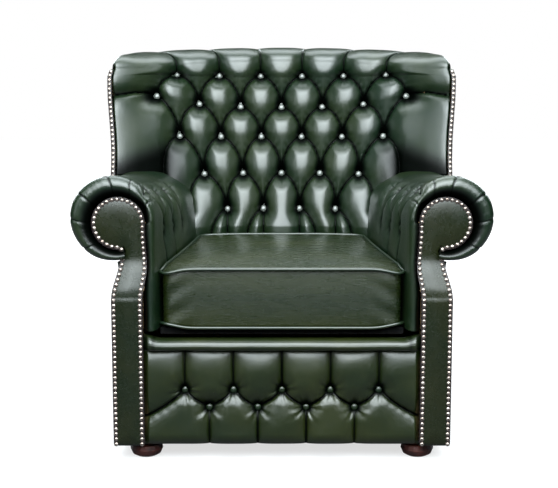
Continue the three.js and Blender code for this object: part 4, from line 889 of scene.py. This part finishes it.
def cushion_shell(name, inset, low, high, crown, material, count=220):
    centre = np.array([0, (cushion_front + cushion_rear) / 2])
    plan = cushion_plan(inset, count)
    layers = [(share, low) for share in np.linspace(0, 1, 26)]
    layers += [(1, z) for z in np.linspace(low, high, 17)[1:-1]]
    layers += [(share, high + crown * (1 - share ** 2.4)) for share in np.linspace(1, 0, 26)]
    rings = [np.c_[centre + (plan - centre) * share, np.full(count, z)] for share, z in layers]
    faces = []
    for start in range(0, count * (len(rings) - 1), count):
        a = start + np.arange(count)
        b = start + (np.arange(count) + 1) % count
        faces += np.stack([a, b, b + count, a + count], -1).tolist()
    return made_of(name, np.concatenate(rings), faces, material)


def puffed(piece, pressure, frames, cap, seams):
    """Blows a cushion up with Cloth between its sewn seams, and keeps how far each point may move small."""
    held = piece.vertex_groups.new(name="seams")
    for vertex in piece.data.vertices:
        if any(abs(vertex.co.z - z) < 0.004 for z in seams) and abs(vertex.co.z - np.mean(seams)) > 0.04:
            held.add([vertex.index], 1.0, "REPLACE")
    before = np.array([v.co for v in piece.data.vertices])
    cloth = piece.modifiers.new("hide", "CLOTH")
    stiff = {"tension_stiffness": 18, "compression_stiffness": 18, "bending_stiffness": 1.2}
    blown_up = {"use_pressure": True, "uniform_pressure_force": pressure, "vertex_group_mass": "seams"}
    for words, value in {"quality": 4, "mass": 0.6, **stiff, **blown_up}.items():
        setattr(cloth.settings, words, value)
    cloth.settings.effector_weights.gravity = 0
    cloth.point_cache.frame_start, cloth.point_cache.frame_end = 1, frames
    for frame_number in range(1, frames + 1):
        scene.frame_set(frame_number)
    blown = bpy.data.meshes.new_from_object(piece.evaluated_get(bpy.context.evaluated_depsgraph_get()))
    after = np.array([v.co for v in blown.vertices])
    bpy.data.meshes.remove(blown)
    piece.modifiers.remove(cloth)
    move = after - before
    far = np.linalg.norm(move, axis=1, keepdims=True)
    after = before + move * np.minimum(1, cap * np.tanh(far / cap) / np.maximum(far, 1e-9))
    piece.data.vertices.foreach_set("co", after.ravel())
    piece.data.update()
    scene.frame_set(1)


cushion_hide = hide("cushion_hide", grain=1.5, run=(0.35, 1, 2.2), matt=0.25, ior=1.4, **olive)
cushion = cushion_shell("seat_cushion", 3.0, cushion_low + 2, cushion_high - 3, 15, cushion_hide)
puffed(cushion, 3.0, 16, 0.011, ((cushion_low + 2) * 0.001, (cushion_high - 3) * 0.001))
creased = np.array([v.co for v in cushion.data.vertices]) * 1000
creased[:, 2] = pinched(*creased.T)
corner_x = cushion_front_half - cushion_corner
near_corner = np.exp(-((np.abs(creased[:, 0]) - corner_x) / 42) ** 2) * smooth(creased[:, 1], -330, -395)
slant = (creased[:, 2] - 395) * 0.9 + np.abs(creased[:, 0]) * 0.55
creased[:, 1] += near_corner * 2.2 * np.sin(slant / 7.5)
creased[:, 2] = np.maximum(creased[:, 2], cushion_low + 0.4)
cushion.data.vertices.foreach_set("co", (creased * 0.001).ravel())
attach(cushion, "seat_cushion")
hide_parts("seat_cushion_cover")

piping_hide = hide("piping_hide", grain=0.5, rubbed=0.8, matt=0.34)
for level, z in (("bottom", cushion_low + piping_radius), ("top", cushion_high - piping_radius)):
    plan = cushion_plan(-2.5, 300)
    curve = bpy.data.curves.new(f"piping_{level}", "CURVE")
    curve.dimensions = "3D"
    curve.bevel_depth, curve.bevel_resolution = piping_radius * 0.00092, 3
    line = curve.splines.new("POLY")
    line.points.add(len(plan) - 1)
    line.use_cyclic_u = True
    for point, (x, y) in zip(line.points, plan):
        point.co = (x * 0.001, y * 0.001, float(pinched(x, y, z)) * 0.001, 1)
    bent = bpy.data.objects.new("piping_path", curve)
    scene.collection.objects.link(bent)
    mesh = bpy.data.meshes.new_from_object(bent.evaluated_get(bpy.context.evaluated_depsgraph_get()))
    bpy.data.objects.remove(bent)
    piping = settled(f"piping_{level}", mesh, piping_hide)
    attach(piping, "seat_cushion")
    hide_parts(f"cushion_piping_{level}")

foam = Finish("foam", base_color=(0.68, 0.62, 0.42, 1), roughness=0.95)
foam.dress(normal=foam.relief(foam.noise(900.0, 2.0), 0.0008, 0.7))
core = cushion_shell("cushion_foam", 12, cushion_low + 10, cushion_high - 12, 12, foam.material, 90)
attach(core, "seat_cushion")
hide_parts("seat_cushion_core")


# ---------------------------------------------------------------- Front
# The seat's front edge is a padded roll drawn in at its ends. Below it a buttoned panel is nailed between the
# plinths, pleated up from its upper buttons and down from its lower ones.
plinth_inner = 328.7
lip_front, lip_top, lip_height, lip_depth = -443, 299, 26, 50
round_profile = [(1, -0.02), (0.45, 0), (0.2, 0.02), (0.08, 0.12), (0.02, 0.28), (0, 0.45),
                 (0.03, 0.62), (0.11, 0.8), (0.24, 0.93), (0.4, 1.0), (1, 0.9)]
lip_back, lip_up = (np.interp(np.linspace(0, 10, 61), range(11), column) for column in zip(*round_profile))
u, v = np.meshgrid(np.linspace(-1, 1, 241), np.arange(61), indexing="ij")
end_draw = smooth(np.abs(u), 0.955, 1.0) * 0.32
pucker = 1.6 * np.sin(u * 61 + 2 * np.sin(u * 9)) * np.exp(-((np.abs(u) - 0.97) / 0.1) ** 2)
unevenness = (pucker + wavy(u * 330, lip_up[v] * 26, 12, 160, 1.3)) * (1 - lip_back[v])
lip_y = lip_front + lip_depth * mix(lip_back[v], 1, end_draw) + unevenness
lip_z = lip_top - lip_height * (1 - lip_up[v]) + 12 * smooth(np.abs(u), 0.88, 1.0) * lip_up[v]
lip_outer = joined(u * plinth_inner, lip_y, lip_z)
lip_inner = joined(u * plinth_inner, lip_front + lip_depth, lip_z)[::24, ::6]
front_hide = hide("front_hide", grain=1.2, matt=0.26, ior=1.44, **olive)
# Painted shade in the puckers at the roll's ends.
lip = stitched("seat_lip_roll", lip_outer, lip_inner, smooth(np.abs(pucker), 0.8, 1.6) * 0.5, front_hide)
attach(lip, "chair")
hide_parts("seat_lip")

front_pitch, front_upper, front_lower = 116, 172, 129
front_low, front_high = 40, 273.7
front_back = -402.5
front_marks = [(front_pitch * (k - 2), -front_upper) for k in range(5)]
front_marks += [(front_pitch * (k - 1.5), -front_lower) for k in range(4)]
front_folds = []
for x, v in front_marks:
    if v == -front_upper:
        front_folds.append(((x, v), (x, -front_high - 20)))
        for beside in (-front_pitch / 2, front_pitch / 2):
            end = (x + beside, -front_lower)
            if abs(end[0]) > front_pitch * 2:
                end = (math.copysign(plinth_inner + 12, beside), -front_lower + 28)
            front_folds += arch((x, v), end, 0.4)
    else:
        front_folds.append(((x, v), (x, 20 - front_low)))
panel_columns, panel_rows = np.linspace(-plinth_inner, plinth_inner, 260), np.linspace(front_low, front_high, 110)
x_panel, z_panel = np.meshgrid(panel_columns, panel_rows)
# The second of these is the painted shade in the panel's pleats and pits.
front_height, front_fold_shade, front_owner = tufts(x_panel, -z_panel, front_marks, front_folds, 46, 33,
                                              sag=0.2, tall=(0.7, 1.2), pit_reach=0.85, groove=3, groove_width=2.2)
marks = np.array(front_marks, float) * [1, -1]
off_x, off_z = x_panel - marks[front_owner, 0], z_panel - marks[front_owner, 1]
front_height = front_height + drawn_creases(off_x, off_z, front_owner, 21, 1.5, 24.0)
front_height = front_height + wavy(x_panel, z_panel, 14, 120, 1.5)
tacked_down = pillow((z_panel - front_low) / 30) * pillow((front_high - z_panel) / 62)
tacked_down = tacked_down * smooth(plinth_inner - np.abs(x_panel), 0, 12)
front_y = front_back - 1.5 - front_height * (0.42 + 0.58 * tacked_down)
front_outer = joined(x_panel, front_y, z_panel)
front_inner = joined(x_panel, front_back + 1, z_panel)[::10, ::20]
buttoned_front = stitched("buttoned_front", front_outer, front_inner, front_fold_shade, front_hide)
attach(buttoned_front, "chair")
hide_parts("front_panel")
front_places = joined(marks[:, 0], front_back - 5, marks[:, 1])
front_buttons = grown("front_buttons", front_places, (0, -1, 0), buttons_tree, Material=soft_hide, Radius=0.0085)
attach(front_buttons, "chair")


# ---------------------------------------------------------------- Outside covers
# Plain hide drawn over thin board on the outside arms, wings and back, with its edges turned in, and the cloths
# inside and under the chair. Each is worked from its solid: edges rounded, then left a little uneven by hand.
def drawn_over(name, material, ripple):
    work = bmesh.new()
    work.from_mesh(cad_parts[name].data)
    bmesh.ops.remove_doubles(work, verts=work.verts, dist=1e-5)
    bmesh.ops.dissolve_limit(work, angle_limit=0.02, verts=work.verts, edges=work.edges)
    sharp = [edge for edge in work.edges if edge.calc_face_angle(0) > 0.7]
    bmesh.ops.bevel(work, geom=sharp, offset=0.0014, segments=2, profile=0.6, affect="EDGES", clamp_overlap=True)
    for _ in range(8):
        bmesh.ops.triangulate(work, faces=work.faces)
        long = [edge for edge in work.edges if edge.calc_length() > 0.018]
        if not long:
            break
        bmesh.ops.subdivide_edges(work, edges=long, cuts=1)
    work.normal_update()
    for vertex in work.verts:
        slow, fast = noise.noise(vertex.co * 6), noise.noise(vertex.co * 21)
        vertex.co += vertex.normal * ripple * (slow + 0.35 * fast)
    mesh = bpy.data.meshes.new(name)
    work.to_mesh(mesh)
    work.free()
    made = settled(f"{name}_cover", mesh, material)
    made.data.set_sharp_from_angle(angle=0.9)
    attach(made, "chair")
    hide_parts(name)
    return made


# Below the roll the outside arm leans in behind the facing's neck, but stays outside the stump. The lower edge of
# the outside wing is sunk into the roll that it comes down on.
outside_hide = hide("outside_hide", grain=1.0, rubbed=0.9)
roll_reach, wing_sunk = 98, 0.018
for hand in hands:
    outside_arm = drawn_over(f"outside_arm_{hand}", outside_hide, 0.0012)
    for vertex in outside_arm.data.vertices:
        x, y, z = np.array(vertex.co) * 1000
        lean = 20 * float(smooth(z, 392, 470)) - 9 * float(smooth(z, 448, 472))
        vertex.co.x -= math.copysign(lean * (1 - float(smooth(y, -330, -60))) * 0.001, x)
    outside_wing = drawn_over(f"outside_wing_{hand}", outside_hide, 0.0009)
    for vertex in outside_wing.data.vertices:
        x, y, z = np.array(vertex.co) * 1000
        arm_top = roll_level(y) + math.sqrt(max(roll_reach**2 - (abs(x) - roll_x) ** 2, 0))
        vertex.co.z -= wing_sunk * (1 - float(smooth(z - arm_top, 8, 30)))
drawn_over("outside_back", outside_hide, 0.0014)

rear_z = np.concatenate([np.linspace(54, 560, 90), np.linspace(564, 700, 30), np.linspace(704, 896, 30)])
rear_x = mix(386, wing_outline_x(rear_z) - 16, smooth(rear_z, 590, 680))
over_x = np.linspace(rear_x[-1] - 6, 0, 60)
half_way = np.concatenate([joined(rear_x, rear_z), joined(over_x, crest_height(over_x) - crest_rise - 15)])
all_round = np.concatenate([half_way, half_way[-2::-1] * [-1, 1]])
rear_path = joined(all_round[:, 0], outside_back_y(all_round[:, 1]) + 1.4, all_round[:, 1])
rear_out = np.array([0.0, 0.998, -0.061])
ribbon("rear_band", rear_path, rear_out, 12, 0.8, band_hide.material)
nailed("rear_studs", rear_path + rear_out, rear_out)


# ---------------------------------------------------------------- Wood, webbing, springs and feet
# Planed beech rails glued and blocked at the corners, jute webbing, serpentine wire springs with clips, a
# black cotton dust cover below and four turned, stained and polished bun feet.
beech = Finish("beech", coat_weight=0.05)
grain = beech.noise(30.0, 5.0, place=beech.stretched((8, 8, 1)))
beech.dress(base_color=beech.blend(grain.between(0.3, 0.75), (0.42, 0.25, 0.115), (0.60, 0.41, 0.22)),
            roughness=0.5 + 0.15 * grain, normal=beech.relief(grain, 0.0006, 0.4))
mahogany = Finish("mahogany", coat_weight=0.5, coat_roughness=0.1)
rings = mahogany.noise(26.0, 4.0, place=mahogany.stretched((1, 1, 4)))
mahogany.dress(base_color=mahogany.blend(rings.between(0.3, 0.7), (0.016, 0.0045, 0.0035), (0.065, 0.014, 0.009)),
               roughness=0.25 + 0.15 * rings)
steel = Finish("spring_wire", metallic=0.95)
drawn_wire = steel.noise(400.0, 2.0)
steel.dress(base_color=steel.blend(drawn_wire, (0.10, 0.105, 0.11), (0.28, 0.29, 0.30)),
            roughness=0.35 + 0.2 * drawn_wire)
brass = Finish("zip_brass", metallic=0.95)
brass.dress(base_color=brass.blend(brass.noise(300.0), (0.20, 0.13, 0.06), (0.45, 0.33, 0.17)),
            roughness=0.3 + 0.15 * brass.noise(500.0))


def cloth(name, dark, light, pitch, depth):
    weave = Finish(name, roughness=0.92, specular_ior_level=0.12)
    yarn = {"Vector": weave.place, "Scale": pitch, "Distortion": 0.6, "Detail": 1.0}
    waves = [weave.node("ShaderNodeTexWave", yarn, wave_type="BANDS", bands_direction=axis) for axis in "XZ"]
    threads = waves[0].out("Fac") * 0.5 + waves[1].out("Fac") * 0.5
    weave.dress(base_color=weave.blend(threads, dark, light), normal=weave.relief(threads, depth, 0.8))
    return weave.material


hessian = cloth("hessian", (0.10, 0.065, 0.03), (0.36, 0.26, 0.13), 110.0, 0.0006)
black_cotton = cloth("black_cotton", (0.0015, 0.0015, 0.0015), (0.007, 0.007, 0.0075), 220.0, 0.0003)
finishes = {
    beech.material: ("arm_stump", "front_rail", "back_rail", "side_rail", "arm_tack_rail", "arm_rail", "back_post",
                     "back_top_rail", "back_tack_rail", "wing_stile", "wing_rail", "corner_block"),
    mahogany.material: ("foot",),
    steel.material: ("seat_spring",),
    brass.material: ("zip_slider",),
    black_cotton: ("zip_tape",),
}
for material, starts in finishes.items():
    for name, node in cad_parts.items():
        if name.startswith(starts):
            node.data.materials.clear()
            node.data.materials.append(material)

# The deck is covered in black cotton; its black also stands in for the shadow in the gap under the cushion's front, so
# it is partly painted shade.
drawn_over("seat_deck", black_cotton, 0.0006)
drawn_over("dust_cover", black_cotton, 0.0004)
drawn_over("back_webbing", hessian, 0.0004)
stuffing = drawn_over("back_stuffing", foam.material, 0.002)
for vertex in stuffing.data.vertices:
    x, y, z = np.array(vertex.co) * 1000
    if y < inside_back_y(x, z) + 60:
        vertex.co.y = float(inside_back_y(x, z) + 70) * 0.001
